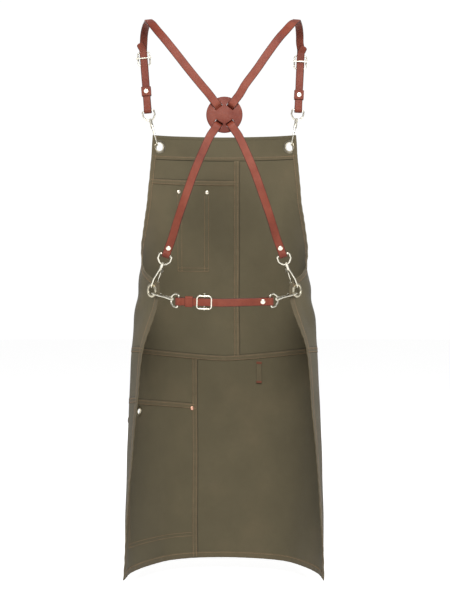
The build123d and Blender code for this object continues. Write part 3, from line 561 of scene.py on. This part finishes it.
OLIVE, WARM_OLIVE = (0.150, 0.125, 0.070), (0.178, 0.142, 0.080)
canvas_cloth = canvas_material("waxed_canvas", OLIVE, WARM_OLIVE)
canvas_seam = canvas_material("waxed_canvas_seam", shade(WARM_OLIVE, 0.93), (0.186, 0.145, 0.081),
                              wear=1.4)
# painted shadow: a near-black copy of the canvas for the dark lines at the seams' joins
canvas_shadow = canvas_material("waxed_canvas_painted_shadow", shade(OLIVE, 0.32), shade(OLIVE, 0.45))
tan_thread = thread_material("tan_thread", (0.43, 0.28, 0.15))
rust_thread = thread_material("rust_thread", (0.30, 0.095, 0.05))
RUSSET = (0.315, 0.069, 0.037)
strap_leather = leather_material("russet_leather", (0.225, 0.043, 0.025), RUSSET, (0.39, 0.102, 0.059))
patch_leather = leather_material("russet_patch", (0.18, 0.038, 0.025), (0.265, 0.059, 0.036),
                                 (0.36, 0.102, 0.065), rough=0.42, grain=0.9, scale=1050.0)
edge_leather = leather_material("dark_edge", (0.045, 0.015, 0.010), (0.085, 0.024, 0.016),
                                (0.13, 0.04, 0.026), rough=0.4, grain=0.2)
plated = metal_material("pale_nickel", (0.80, 0.76, 0.64))
grommet_metal = metal_material("grommet_plate", (0.70, 0.64, 0.49), rough=0.3, tarnish=0.5)
# the washer's dark colour is painted shade, for the dark ring round each eyelet hole on the wearer's side
shaded_washer_metal = metal_material("washer_plate_painted_shade", (0.36, 0.32, 0.24), rough=0.38, tarnish=0.5)
cream_rivet = metal_material("cream_rivet", (0.90, 0.82, 0.68), rough=0.3, tarnish=0.2)
copper_rivet = metal_material("copper_rivet", (0.80, 0.44, 0.31), rough=0.34, tarnish=0.3)


# ---- canvas pieces
def side(sign):
    return lambda z: sign * edge(z)


def on_apron(obj):
    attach(obj, "apron")
    return obj


def line_down(s, z0, z1, n=60):
    return np.full(n, float(s)), np.linspace(z0, z1, n)


def line_across(s0, s1, height, n=90):
    s = np.linspace(s0, s1, n)
    return s, height(s) if callable(height) else np.full(n, float(height))


def at_height(reach, z, inset):
    """Reach of the cloth at a height, less an inset."""
    return float(reach(np.array(z))) - inset


tip_s = at_height(half_girth, WAIST_GROMMET_Z, WAIST_GROMMET_FROM_EDGE)
left_edge, right_edge, bib_seam, skirt_seam = side(-1), side(1), fixed(BIB_SEAM_S), fixed(SKIRT_SEAM_S)
band_seam, yoke_seam, hem_line = fixed(BAND_SEAM_Z), fixed(YOKE_SEAM_Z), fixed(HEM_Z)
band_holes = [(-BIB_GROMMET_S, BIB_GROMMET_Z, 9.6), (BIB_GROMMET_S, BIB_GROMMET_Z, 9.6)]
# node, piece, its left, right, bottom and top boundaries, mesh step and holes
PANELS = [
    ("bib_top_band", "top_band", left_edge, right_edge, band_seam, fixed(BIB_TOP_Z), 2.2, band_holes),
    ("bib_yoke_left", "yoke_left", left_edge, bib_seam, yoke_seam, band_seam, 3.0, ()),
    ("bib_panel_left", "bib_left", left_edge, bib_seam, waist_seam, yoke_seam, 2.8,
     [(-tip_s, WAIST_GROMMET_Z, 9.8)]),
    ("bib_panel_right", "bib_right", bib_seam, right_edge, waist_seam, band_seam, 2.8,
     [(tip_s, WAIST_GROMMET_Z, 9.8)]),
    ("skirt_panel_left_upper", "skirt_left_upper", left_edge, skirt_seam, hip_seam, waist_seam, 3.0, ()),
    ("skirt_panel_left_lower", "skirt_left_lower", left_edge, skirt_seam, hem_line, hip_seam, 3.0,
     [(TOWEL_S, TOWEL_Z, 6.6)]),
    ("skirt_panel_right", "skirt_right", skirt_seam, right_edge, hem_line, waist_seam, 3.0, ()),
]
panels = {node: cloth_panel("canvas_" + piece, *bounds, canvas_cloth, step=step, holes=holes)
          for node, piece, *bounds, step, holes in PANELS}


def pocket(name, s, z, depth, step=3.0, holes=()):
    """Patch pocket on the outside, its front swollen but not at its sewn sides and bottom."""
    def swell(p, q):
        return depth * np.sin(np.pi * p) ** 0.8 * np.sin(np.pi * np.minimum(0.5, q * 0.62)) ** 0.8
    return cloth_panel(name, fixed(s[0]), fixed(s[1]), fixed(z[0]), fixed(z[1]), canvas_cloth, lift=1.3,
                       step=step, bulge=swell, holes=holes)


pockets = {
    "pen_pocket": pocket("pocket_pen", PEN_POCKET_S, PEN_POCKET_Z, 2.2, step=2.5),
    "hip_pocket": pocket("pocket_hip", HIP_POCKET_S, HIP_POCKET_Z, 4.0, holes=[(TOWEL_S, TOWEL_Z, 10.4)]),
}
loop = cloth_panel("tool_loop_strip", fixed(TOOL_LOOP_S[0]), fixed(TOOL_LOOP_S[1]), fixed(TOOL_LOOP_Z[0]),
                   fixed(TOOL_LOOP_Z[1]), canvas_seam, lift=-1.9, step=1.2,
                   bulge=lambda p, q: -0.8 * np.sin(np.pi * q) + 0.2 * np.sin(np.pi * p))

hem_heights = np.linspace(HEM_Z + 0.3, WAIST_TIP_Z - 0.5, 120)
arm_heights = np.linspace(WAIST_TIP_Z + 0.6, BIB_TOP_Z - 0.3, 120)
band_reach = at_height(edge, BAND_SEAM_Z, 0.0)
waist_reach = at_height(half_girth, WAIST_SEAM_Z + WAIST_SEAM_RISE, 0.6)
hip_reach = at_height(half_girth, HIP_SEAM_Z + HIP_SEAM_RISE, 0.6)
yoke_reach = at_height(edge, YOKE_SEAM_Z, 0.4)
bottom_reach = at_height(half_girth, HEM_Z, 1.0)
top_reach = at_height(edge, BIB_TOP_Z - 3, 0.6)


def seam_lines(off, band_off):
    """A line along each seam, moved off the join towards larger s or z."""
    return {
        "band": line_across(-band_reach + 0.5, band_reach - 0.5, BAND_SEAM_Z + band_off),
        "bib": line_down(BIB_SEAM_S + off, BAND_SEAM_Z - 1, WAIST_SEAM_Z + 2),
        "yoke": line_across(-yoke_reach, BIB_SEAM_S - 1, YOKE_SEAM_Z + off),
        "waist": line_across(-waist_reach, waist_reach, lambda s: waist_seam(s) + off, 160),
        "skirt": line_down(SKIRT_SEAM_S + off, WAIST_SEAM_Z - 6, HEM_Z + 1),
        "hip": line_across(-hip_reach, SKIRT_SEAM_S - 1, lambda s: hip_seam(s) + off),
    }


# each felled band lies just beside the join that it covers; the thin dark strip at the join is painted
# shadow, the shade of the fold there
FELL, BAND_FELL, SHADOW_LINE, HEM = 11.0, 8.0, 1.3, 12.0
seams = {}
for name, path in seam_lines(1.0 - FELL / 2, 3.0).items():
    seams["seam_" + name] = strip("canvas_seam_" + name, *path, BAND_FELL if name == "band" else FELL,
                                  canvas_seam)
# thin strips of painted shadow along each join, in the near-black canvas
for name, path in seam_lines(SHADOW_LINE, -SHADOW_LINE).items():
    seams["fold_" + name] = strip("canvas_painted_shadow_" + name, *path, SHADOW_LINE, canvas_shadow, inner=0.16, outer=0.1)


def hem_path(sign, heights, inset):
    return sign * (edge(heights) - inset), heights


def hem(name, s, z, width):
    seams["hem_" + name] = strip("canvas_hem_" + name, s, z, width, canvas_seam, inner=0.8, outer=0.15)


for sign, label in ((-1, "left"), (1, "right")):
    hem("side_" + label, *hem_path(sign, hem_heights, HEM / 2 - 0.3), HEM)
    hem("arm_" + label, *offset_path(*hem_path(sign, arm_heights, 0.0), sign * 4.6), 9.6)
hem("bottom", *line_across(-bottom_reach, bottom_reach, HEM_Z + HEM / 2 - 0.3), HEM)
seams["hem_top"] = strip("canvas_hem_top", *line_across(-top_reach, top_reach, BIB_TOP_Z - 3.0), 6.6,
                         canvas_cloth, inner=0.35, outer=0.35)

# stitching: rows of thread, tan on the seams and rust at the bartacks
FELL_ROWS = (2.0, 8.4)
rows_seam = [line_across(-band_reach + 2, band_reach - 2, BAND_SEAM_Z + 4.6)]
rows_seam += [line_down(BIB_SEAM_S - off, BAND_SEAM_Z - 2, WAIST_SEAM_Z) for off in (2.2, 8.6)]
rows_seam += [line_across(-yoke_reach + 2, BIB_SEAM_S - 1, YOKE_SEAM_Z - off) for off in FELL_ROWS]
rows_seam += [line_across(-waist_reach + 2, waist_reach - 2, lambda s: waist_seam(s) - off, 160)
              for off in FELL_ROWS]
rows_seam += [line_down(SKIRT_SEAM_S - off, WAIST_SEAM_Z - 2, HEM_Z + 2) for off in FELL_ROWS]
rows_seam += [line_across(-hip_reach + 2, SKIRT_SEAM_S - 1, lambda s: hip_seam(s) - off) for off in FELL_ROWS]
rows_hem = [line_across(-bottom_reach + 9, bottom_reach - 9, HEM_Z + HEM - 2.4)]
for sign in (-1, 1):
    rows_hem.append(hem_path(sign, hem_heights, HEM - 2.4))
    rows_hem.append(offset_path(*hem_path(sign, arm_heights, 0.0), sign * 7.6))


def sew(name, rows, lift_in, lift_out, thread=tan_thread):
    """One piece of thread from its rows, each face's stitches at their own lift."""
    points, faces = stitches(rows, lift_in, lift_out)
    return mesh_object("stitching_" + name, points, faces, [thread])


threads = [sew("seams", rows_seam, -1.15, 1.62), sew("hems", rows_hem, -1.0, 1.3)]

# pocket stitching goes through to the wearer's face, where only the thread shows
pen_low, pen_high = PEN_POCKET_Z
rows_pocket = []
for inset in (2.2, 10.2):
    rows_pocket.append(line_down(PEN_POCKET_S[0] + inset, pen_low + 2, pen_high - 12))
    rows_pocket.append(line_down(PEN_POCKET_S[1] - inset, pen_low + 2, pen_high - 12))
for inset in (2.2, 8.6):
    rows_pocket.append(line_across(PEN_POCKET_S[0] + 2, PEN_POCKET_S[1] - 2, pen_low + inset))
    rows_pocket.append(line_across(HIP_POCKET_S[0] + 2, HIP_POCKET_S[1] - 2, HIP_POCKET_Z[0] + inset))
    rows_pocket.append(line_down(HIP_POCKET_S[0] + inset, HIP_POCKET_Z[0] + 2, HIP_POCKET_Z[1] - 3))
threads.append(sew("pockets", rows_pocket, -0.36, 2.6))


def bartack(s0, s1, z, count=12):
    """Short upright stitches side by side across a strip."""
    return [(np.array([s0 + (s1 - s0) * k / count] * 2), np.array([z - 1.9, z + 1.9]))
            for k in range(count + 1)]


tacks = bartack(*TOOL_LOOP_S, TOOL_LOOP_Z[1] - 3) + bartack(*TOOL_LOOP_S, TOOL_LOOP_Z[0] + 3)
threads.append(sew("bartacks", tacks, -2.4, 1.3, rust_thread))

# hems of the pocket mouths
mouth_pen = strip("pocket_pen_hem", *line_across(PEN_POCKET_S[0] + 0.4, PEN_POCKET_S[1] - 0.4, pen_high - 6),
                  12.0, canvas_seam, inner=-0.2, outer=2.1)
mouth_hip = strip("pocket_hip_hem",
                  *line_across(HIP_POCKET_S[0] + 0.4, HIP_POCKET_S[1] - 0.4, HIP_POCKET_Z[1] - 17),
                  10.0, canvas_seam, inner=-0.2, outer=3.0)

sheets = {**panels, **pockets, "tool_loop": loop}
for obj in [*sheets.values(), *seams.values(), *threads, mouth_pen, mouth_hip]:
    on_apron(obj)
for node, obj in sheets.items():
    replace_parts(obj, node)
    width, length = obj["flat_width"], obj["flat_length"]


# ---- leather
STRAP_WIDTH, STRAP_THICKNESS, LAYER_OFFSET, LOOP_SLACK, WIRE = 15.0, 2.6, 1.45, 1.2, 1.6
EYE_BAR_HEIGHT = 23.5
PATCH_RADIUS, PATCH_Z, PATCH_FRONT_Y = 32.5, -200.0, -131.6
UPPER_ANGLE, LOWER_ANGLE, SLOT_RADIUS, SLOT_WIDTH = 37.0, 33.5, 18.4, 6.6
SLIDER_REACH = {"left": 104.0, "right": 96.0, "belt": 47.0}
INNER_TAIL, OUTER_TAIL = 24.0, 34.0   # how far a riveted end's two layers reach past the eye's bar
joints = {j["name"]: j for j in frame["joints"]}


def across(direction, normal):
    direction, normal = np.asarray(direction, float), np.asarray(normal, float)
    return unit(direction - normal * (direction @ normal))


def strap_end(place, width, direction):
    """Frame of a strap end: origin at the eye's bar, z along the strap, x across it."""
    joint = joints["swivel_" + place]
    axis = unit(joint["axis"])
    origin = np.array(joint["pos_m"]) / MM + axis * EYE_BAR_HEIGHT
    z = unit(direction)
    x = across(across(width, axis), z)
    return {"o": origin, "x": x, "y": np.cross(z, x), "z": z}


ends = {place: strap_end(place, *directions) for place, *directions in (
    ("bib_left", (1, 0, 0.06), (-9.0, 4.0, 114.0)),
    ("bib_right", (1, 0, -0.06), (5.5, 4.0, 114.0)),
    ("waist_left", (-0.93, -0.10, 0.36), (0.34, -0.30, 0.89)),
    ("waist_right", (-0.93, 0.10, -0.36), (-0.34, -0.30, 0.89)),
    ("belt_left", (0, 0, 1), (1, -0.03, -0.03)),
    ("belt_right", (0, 0, -1), (-1, -0.03, -0.03)),
)}


def local(end, x, y, z):
    return end["o"] + end["x"] * x + end["y"] * y + end["z"] * z


def loop_stations(end, tip, reach):
    """Stations (point, width direction) from the tip, round the bar and up the outer layer."""
    turn = WIRE + LOOP_SLACK + STRAP_THICKNESS / 2
    inner = [(tip, LAYER_OFFSET), (10.5, LAYER_OFFSET), (7.0, 2.1), (3.0, turn - 0.3)]
    stations = [local(end, 0, -y, z) for z, y in inner if z <= tip]
    for step in range(7):
        angle = math.radians(180 + 30 * step)
        stations.append(local(end, 0, math.cos(angle) * turn, math.sin(angle) * turn))
    stations += [local(end, 0, y, z) for z, y in reversed(inner[1:])]
    stations.append(local(end, 0, LAYER_OFFSET, reach))
    return [(point, end["x"]) for point in stations]


# shoulder part of the straps: x on the left, x on the right, y, z, width direction
SHOULDER = [
    (159.5, 148.8, 85.6, -23.0, 1, 0, 0.05), (158.4, 148.3, 79.0, -12.0, 1, 0.03, 0.05),
    (156.1, 146.9, 67.0, -4.4, 1, 0.08, 0.05), (152.6, 144.5, 48.0, 0.2, 1, 0.12, 0.05),
    (148.3, 141.1, 25.0, 1.3, 1, 0.16, 0.05), (144.7, 138.1, 0.0, -0.8, 1, 0.18, 0.08),
    (142.5, 135.9, -25.0, -5.2, 1, 0.16, 0.12), (141.0, 133.8, -50.0, -12.4, 1, 0.12, 0.20),
    (137.0, 129.0, -76.0, -20.5, 1, 0.10, 0.34), (131.0, 121.8, -96.0, -30.0, 1, 0.06, 0.50),
    (121.0, 110.8, -112.0, -45.0, 1, 0.03, 0.65), (108.0, 97.4, -123.0, -62.0, 1, 0, 0.74),
    (86.5, 77.7, -131.0, -90.0, 1, 0, 0.78), (63.5, 57.3, -134.5, -120.0, 1, 0, 0.78),
    (41.5, 37.3, -134.8, -147.0, 1, 0, 0.78),
]
LOWER = [
    (37.0, -135.2, -263.0, 1, 0, 0.44), (53.5, -135.6, -302.0, 1, 0.03, 0.40),
    (69.0, -132.8, -345.0, 1, 0.10, 0.38), (83.0, -124.6, -385.0, 1, 0.22, 0.36),
]


def mirrored(rows, side, turn=1):
    """The rows as (point, width direction), on the left with side -1. turn flips the widths' slope."""
    return [(np.array((side * r[0], r[1], r[2])), unit((r[3], turn * side * r[4], turn * side * r[5])))
            for r in rows]


def patch_stations(side, depth):
    """A strap through the patch: over the rim, in at one slot and out at the other."""
    middle = (-132.5 + depth - 0.6) / 2
    profile = [(46.0, -133.8), (34.0, -133.3), (24.5, -133.25), (22.0, -132.5), (19.0, middle)]
    profile += [(16.0, depth - 0.6), (13.0, depth)]
    a, b = math.radians(UPPER_ANGLE), math.radians(LOWER_ANGLE)
    up, down = (side * math.sin(a), math.cos(a)), (-side * math.sin(b), -math.cos(b))
    upper_width, lower_width = np.array((up[1], 0, -up[0])), np.array((-down[1], 0, down[0]))
    above = [(np.array((up[0] * r, y, PATCH_Z + up[1] * r)), upper_width) for r, y in profile]
    below = [(np.array((down[0] * r, y, PATCH_Z + down[1] * r)), lower_width) for r, y in profile]
    crossing = [(np.array((0, depth, PATCH_Z)), unit(upper_width + lower_width))]
    return above + crossing + below[::-1]


def shoulder_strap(side, label, waist):
    front, slider_reach, depth = ends["bib_" + label], SLIDER_REACH[label], CROSSING_Y[label]
    flare = [(local(front, side * 6.0, -5.4, slider_reach + 30.0), front["x"]),
             (local(front, side * 2.6, -3.0, slider_reach + 23.0), front["x"])]
    stations = flare + loop_stations(front, slider_reach + 16.0, 118.0)
    for left, right, y, z, *wide in SHOULDER:
        stations += mirrored([(right if side > 0 else left, y, z, *wide)], side, -1)
    stations += patch_stations(side, depth) + mirrored(LOWER, -side)
    return stations + [(point, -w) for point, w in reversed(loop_stations(waist, INNER_TAIL, OUTER_TAIL))]


def belt():
    middle = [(np.array(point), np.array((0, 0, 1.0)))
              for point in ((-4.0, -123.35, -535.9), (26.0, -122.7, -535.3))]
    right = [(point, -w)
             for point, w in reversed(loop_stations(ends["belt_right"], INNER_TAIL, OUTER_TAIL))]
    reach = SLIDER_REACH["belt"] + 20.0
    return loop_stations(ends["belt_left"], reach, reach) + middle + right


# a quarter of a strap's section, from the middle of its face to the middle of its edge
QUARTER_SECTION = [(0.0, 1.30), (2.6, 1.29), (4.9, 1.27), (5.45, 1.24), (5.75, 1.12), (6.05, 1.24),
                   (6.6, 1.2), (7.15, 0.95), (7.42, 0.5), (7.5, 0.0)]
DARK_EDGE = 6.5   # the section's faces past this, each side of its middle, are the dyed edge


def strap_mesh(name, stations, step=1.6):
    """Flat leather strap along the stations, with creased faces, rounded edges and rounded ends."""
    points = np.array([p for p, _ in stations])
    widths = np.array([w for _, w in stations])
    length = np.concatenate([[0], np.cumsum(np.linalg.norm(np.diff(points, axis=0), axis=1))])
    at = np.linspace(0, length[-1], int(length[-1] / step) + 1)
    line, wide = smooth(length, points, at), smooth(length, widths, at)
    ahead = unit(np.gradient(line, axis=0))
    wide = unit(wide - ahead * (wide * ahead).sum(-1, keepdims=True))
    up = np.cross(ahead, wide)
    ring = QUARTER_SECTION + [(a, -b) for a, b in QUARTER_SECTION[-2::-1]]
    ring += [(-a, -b) for a, b in QUARTER_SECTION[1:]] + [(-a, b) for a, b in QUARTER_SECTION[-2:0:-1]]
    ring = np.array(ring)
    from_end = np.minimum(at, length[-1] - at)
    corner = np.clip(from_end / 5.0, 0, 1)
    narrow = 0.45 + 0.55 * np.sqrt(np.clip(1 - (1 - corner) ** 2, 0, 1))
    thin = 0.55 + 0.45 * np.clip(from_end / 1.5, 0, 1)
    body = (line[:, None] + wide[:, None] * (ring[:, :1] * narrow[:, None, None])
            + up[:, None] * (ring[:, 1:] * thin[:, None, None]))
    outer = (np.abs(ring[:, 0]) > DARK_EDGE) & (np.abs(np.roll(ring[:, 0], -1)) > DARK_EDGE)
    kinds = list(np.tile(outer.astype(int), len(line) - 1)) + [1, 1]
    faces = tube_faces(len(line), len(ring))
    return mesh_object(name, body, faces, [strap_leather, edge_leather], kinds=kinds)


CROSSING_Y = {"left": -126.6, "right": -123.5}   # the straps' middles where they cross behind the patch
straps = {
    "shoulder_strap_left": shoulder_strap(-1, "left", ends["waist_right"]),
    "shoulder_strap_right": shoulder_strap(1, "right", ends["waist_left"]),
    "back_belt_strap": belt(),
}
for node, stations in straps.items():
    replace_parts(on_apron(strap_mesh("leather_" + node, stations)), node)


def evaluated_copy(obj, name, materials):
    """The object's mesh with its modifiers applied, as a new object, and the old one removed."""
    graph = bpy.context.evaluated_depsgraph_get()
    mesh = bpy.data.meshes.new_from_object(obj.evaluated_get(graph))
    mesh.name = name
    mesh.materials.clear()
    for material in materials:
        mesh.materials.append(material)
    new = bpy.data.objects.new(name, mesh)
    new.matrix_world = obj.matrix_world.copy()
    bpy.context.scene.collection.objects.link(new)
    bpy.data.objects.remove(obj)
    return new


def lathe(name, profile, origin, axis, materials, segments=64, kinds=None, closed=True):
    """Surface of revolution: profile of (radius, height) along the axis from the origin."""
    axis = unit(axis)
    x = across((0.31, 0.2, 0.93) if abs(axis[2]) < 0.9 else (1, 0, 0), axis)
    y = np.cross(axis, x)
    turn = np.linspace(0, 2 * np.pi, segments, endpoint=False)
    circle = np.cos(turn)[:, None] * x + np.sin(turn)[:, None] * y
    profile = np.array(profile, float)
    points = np.asarray(origin) + circle[None] * profile[:, :1, None] + axis * profile[:, 1:, None]
    return mesh_object(name, points, tube_faces(len(profile), segments, closed), materials, kinds=kinds)


# round patch: a domed disc with a rounded rim, cut by the four slots
dome = [(0.6, 3.9), (5, 3.75), (10, 3.1), (14, 2.15), (18, 1.1), (22, 0.3), (26, -0.1), (29.5, -0.35),
        (31.3, -0.7), (32.2, -1.2), (PATCH_RADIUS, -1.8), (PATCH_RADIUS, -2.4), (32.0, -2.9), (30.8, -3.1),
        (20, -2.9), (0.6, -0.9)]
patch = lathe("patch_disc", dome, (0, PATCH_FRONT_Y, PATCH_Z), (0, -1, 0), [patch_leather], segments=96,
              closed=False)
cutters = []
for angle in (UPPER_ANGLE, -UPPER_ANGLE, 180 - LOWER_ANGLE, 180 + LOWER_ANGLE):
    a = math.radians(angle)
    out, wide = np.array((math.sin(a), 0, math.cos(a))), np.array((math.cos(a), 0, -math.sin(a)))
    centre = np.array((0, PATCH_FRONT_Y, PATCH_Z)) + out * SLOT_RADIUS
    half_w, half_h = (STRAP_WIDTH + 0.5) / 2, SLOT_WIDTH / 2
    corners = [centre + wide * half_w * i + out * half_h * j + np.array((0, 9.0 * k, 0))
               for k in (-1, 1) for i, j in ((-1, -1), (1, -1), (1, 1), (-1, 1))]
    quads = [(0, 1, 2, 3), (7, 6, 5, 4), (0, 4, 5, 1), (1, 5, 6, 2), (2, 6, 7, 3), (3, 7, 4, 0)]
    cutter = mesh_object("slot_cutter", corners, quads, [], flat=True)
    modifier = patch.modifiers.new("slot", "BOOLEAN")
    modifier.operation, modifier.solver, modifier.object = "DIFFERENCE", "EXACT", cutter
    cutters.append(cutter)
patch = evaluated_copy(patch, "leather_patch", [patch_leather])
for cutter in cutters:
    bpy.data.objects.remove(cutter)
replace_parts(on_apron(patch), "cross_patch")


# keepers: a leather band round both layers, its walls rounded
KEEPER_WALL = 1.6
# the strap end, how far along it the keeper's middle is, and the keeper's length
KEEPERS = {"left": ("bib_left", 38.5, 18.5), "right": ("bib_right", 30.0, 18.5),
           "belt": ("belt_left", 19.5, 14.5)}


def rounded_box(half_x, half_y, radius, steps=5):
    """Outline of a rectangle with round corners."""
    outline_points = []
    for cx, cy, start in ((1, 1, 0), (-1, 1, 90), (-1, -1, 180), (1, -1, 270)):
        for k in range(steps):
            a = math.radians(start + 90 * k / (steps - 1))
            outline_points.append((cx * (half_x - radius) + radius * math.cos(a),
                                   cy * (half_y - radius) + radius * math.sin(a)))
    return np.array(outline_points)


for label, (place, reach, length) in KEEPERS.items():
    end = ends[place]
    half_x, half_y = (STRAP_WIDTH + 0.7) / 2, LAYER_OFFSET + STRAP_THICKNESS / 2 + 0.3
    loops = []
    half = length / 2
    for wall, z in ((0.0, -half + 0.4), (0.45, -half), (1.15, -half), (KEEPER_WALL, -half + 0.45),
                    (KEEPER_WALL, -half + 2.0), (KEEPER_WALL + 0.05, 0.0), (KEEPER_WALL, half - 2.0),
                    (KEEPER_WALL, half - 0.45), (1.15, half), (0.45, half), (0.0, half - 0.4)):
        box = rounded_box(half_x + wall, half_y + wall, 0.5 + wall * 0.7)
        loops.append([local(end, x, y, reach + z) for x, y in box])
    body = np.array(loops)
    rows, count = body.shape[:2]
    faces = tube_faces(rows, count, closed=True)
    kinds = np.repeat([1, 1, 1, 0, 0, 0, 0, 1, 1, 1], count).tolist() + [0] * count
    keeper = mesh_object("leather_keeper_" + label, body, faces, [strap_leather, edge_leather], kinds=kinds)
    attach(keeper, "keeper_" + label)
    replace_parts(keeper, "keeper_" + label)


# ---- metal fittings
def dome_rivet(name, origin, axis, radius, low, high, material):
    """Rivet through a stack: a domed head at each end of a shank."""
    r, h = radius, 1.25
    head = [(0.35, h), (r * 0.3, h * 0.97), (r * 0.6, h * 0.82), (r * 0.84, h * 0.52), (r * 0.97, h * 0.2),
            (r, 0.0), (r * 0.97, -0.12), (1.5, -0.12)]
    profile = [(a, high + b) for a, b in head] + [(a, low - b) for a, b in head[::-1]]
    obj = lathe(name, profile, origin, axis, [material], segments=40, closed=False)
    return on_apron(obj)


def grommet(name, origin, axis, hole, flange):
    """Eyelet with a rolled rim outside and its washer on the wearer's side."""
    wide = flange - hole
    profile = [
        (hole, 0.9), (hole + 0.25, 1.62), (hole + 0.9, 2.0), (hole + 0.5 * wide, 1.75), (flange - 0.7, 1.35),
        (flange - 0.1, 1.1), (flange, 0.8), (flange - 0.4, 0.6), (hole + 1.2, 0.62),
        (hole + 1.1, -0.62), (flange - 0.5, -0.6), (flange, -0.8), (flange - 0.15, -1.1),
        (flange - 0.8, -1.3), (hole + 0.55 * wide, -1.32), (hole + 1.5, -1.35), (hole + 1.25, -1.7),
        (hole + 0.7, -2.0), (hole + 0.15, -1.6), (hole, -0.9),
    ]
    segments = 72
    # the washer's faces on the wearer's side take the darker metal, which is painted shade
    kinds = np.repeat([0] * 9 + [1] * 6 + [0] * 4, segments).tolist() + [0] * segments
    obj = lathe(name, profile, origin, axis, [grommet_metal, shaded_washer_metal], segments=segments, kinds=kinds)
    return on_apron(obj)


def through(s, z):
    """Middle of the canvas at a place, and the direction outwards there."""
    out = outwards(np.array(s), np.array(z))
    return canvas(s, z) + out * CANVAS_THICKNESS / 2, out


for node, places, size in (
    ("bib_grommets", ((-BIB_GROMMET_S, BIB_GROMMET_Z), (BIB_GROMMET_S, BIB_GROMMET_Z)), LARGE_EYELET),
    ("waist_grommets", ((-tip_s, WAIST_GROMMET_Z), (tip_s, WAIST_GROMMET_Z)), LARGE_EYELET),
    ("towel_grommet", ((TOWEL_S, TOWEL_Z),), SMALL_EYELET),
):
    for k, place in enumerate(places):
        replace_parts(grommet(f"metal_{node}_{k}", *through(*place), *size), node)

POCKET_RIVET, STRAP_RIVET = 4.0, 4.5   # radius of the heads
for k, s in enumerate(PEN_RIVETS_S):
    rivet = dome_rivet(f"rivet_pen_pocket_{k}", *through(s, PEN_POCKET_Z[1] - RIVET_DROP), POCKET_RIVET,
                       -0.6, 2.4, cream_rivet)
    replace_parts(rivet, "pocket_rivets")
rivet = dome_rivet("rivet_hip_pocket", *through(HIP_POCKET_S[1] - RIVET_DROP, HIP_POCKET_Z[1] - RIVET_DROP),
                   POCKET_RIVET, -1.5, 2.4, copper_rivet)
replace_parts(rivet, "hip_pocket_rivet")
for place in ("waist_left", "waist_right", "belt_right"):
    end = ends[place]
    rivet = dome_rivet("rivet_strap_" + place, local(end, 0, 0, 14.0), end["y"], STRAP_RIVET, -2.85, 2.85,
                       cream_rivet)
    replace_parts(rivet, "strap_end_rivets")


def repaint(obj, material):
    """Gives a carried-over CAD piece its finished material."""
    if not obj.data.materials:
        obj.data.materials.append(material)
    for slot_item in obj.material_slots:
        slot_item.link = "OBJECT"
        slot_item.material = material


for name, obj in frame["nodes"].items():
    if name.startswith(("eye_", "hook_", "gate_", "slider_")):
        repaint(obj, plated)
    elif name.startswith("keeper_rivet"):
        repaint(obj, cream_rivet)

# ---- floor, light, camera
FLOOR_GAP = 0.03   # under the hem, in metres


def dress(obj, name, material_name, colour, rough, glow):
    """Names a studio surface and gives it a plain, slightly glowing material."""
    obj.name = name
    material, _, shader = nodes_of(material_name)
    shader.inputs["Base Color"].default_value = (*grey(colour), 1)
    shader.inputs["Roughness"].default_value = rough
    shader.inputs["Emission Color"].default_value = (1, 1, 1, 1)
    shader.inputs["Emission Strength"].default_value = glow
    obj.data.materials.append(material)
    obj.visible_diffuse = False


bpy.ops.mesh.primitive_circle_add(vertices=96, radius=14.0, fill_type="NGON",
                                  location=(0, 0, cad_low.z - FLOOR_GAP))
floor = bpy.context.object
dress(floor, "floor", "pale_floor", 0.93, 0.9, 0.68)
bpy.ops.mesh.primitive_uv_sphere_add(segments=48, ring_count=24, radius=16.0, location=(0, 0, 0))
backdrop = bpy.context.object
dress(backdrop, "backdrop", "white_backdrop", 0.0, 0.5, 1.0)
backdrop.visible_glossy = backdrop.visible_shadow = backdrop.visible_transmission = False

world = bpy.data.worlds.new("studio")
bpy.context.scene.world = world
world.use_nodes = True
world.node_tree.nodes["Background"].inputs["Color"].default_value = (1, 1, 1, 1)
world.node_tree.nodes["Background"].inputs["Strength"].default_value = 0.32


def area_light(name, location, target, size, power):
    light = bpy.data.lights.new(name, "AREA")
    light.shape, light.size, light.energy = "DISK", size, power
    obj = bpy.data.objects.new(name, light)
    obj.location = location
    obj.rotation_mode = "QUATERNION"
    obj.rotation_quaternion = (Vector(target) - Vector(location)).to_track_quat("-Z", "Y")
    bpy.context.scene.collection.objects.link(obj)


area_light("key", (0.1, -2.5, 1.3), (0, 0, -0.2), 1.5, 82.0)
area_light("fill", (-0.6, 3.0, 0.4), (0, 0, -0.5), 1.6, 14.0)
bpy.context.scene.view_settings.view_transform = "Standard"

camera_data = bpy.data.cameras.new("camera")
camera_data.lens, camera_data.sensor_width = 69.0, 36.0
camera = bpy.data.objects.new("camera", camera_data)
camera.location = (0.0011, -2.185, -0.531)
camera.rotation_euler = (math.radians(90), 0, 0)
bpy.context.scene.collection.objects.link(camera)
bpy.context.scene.camera = camera
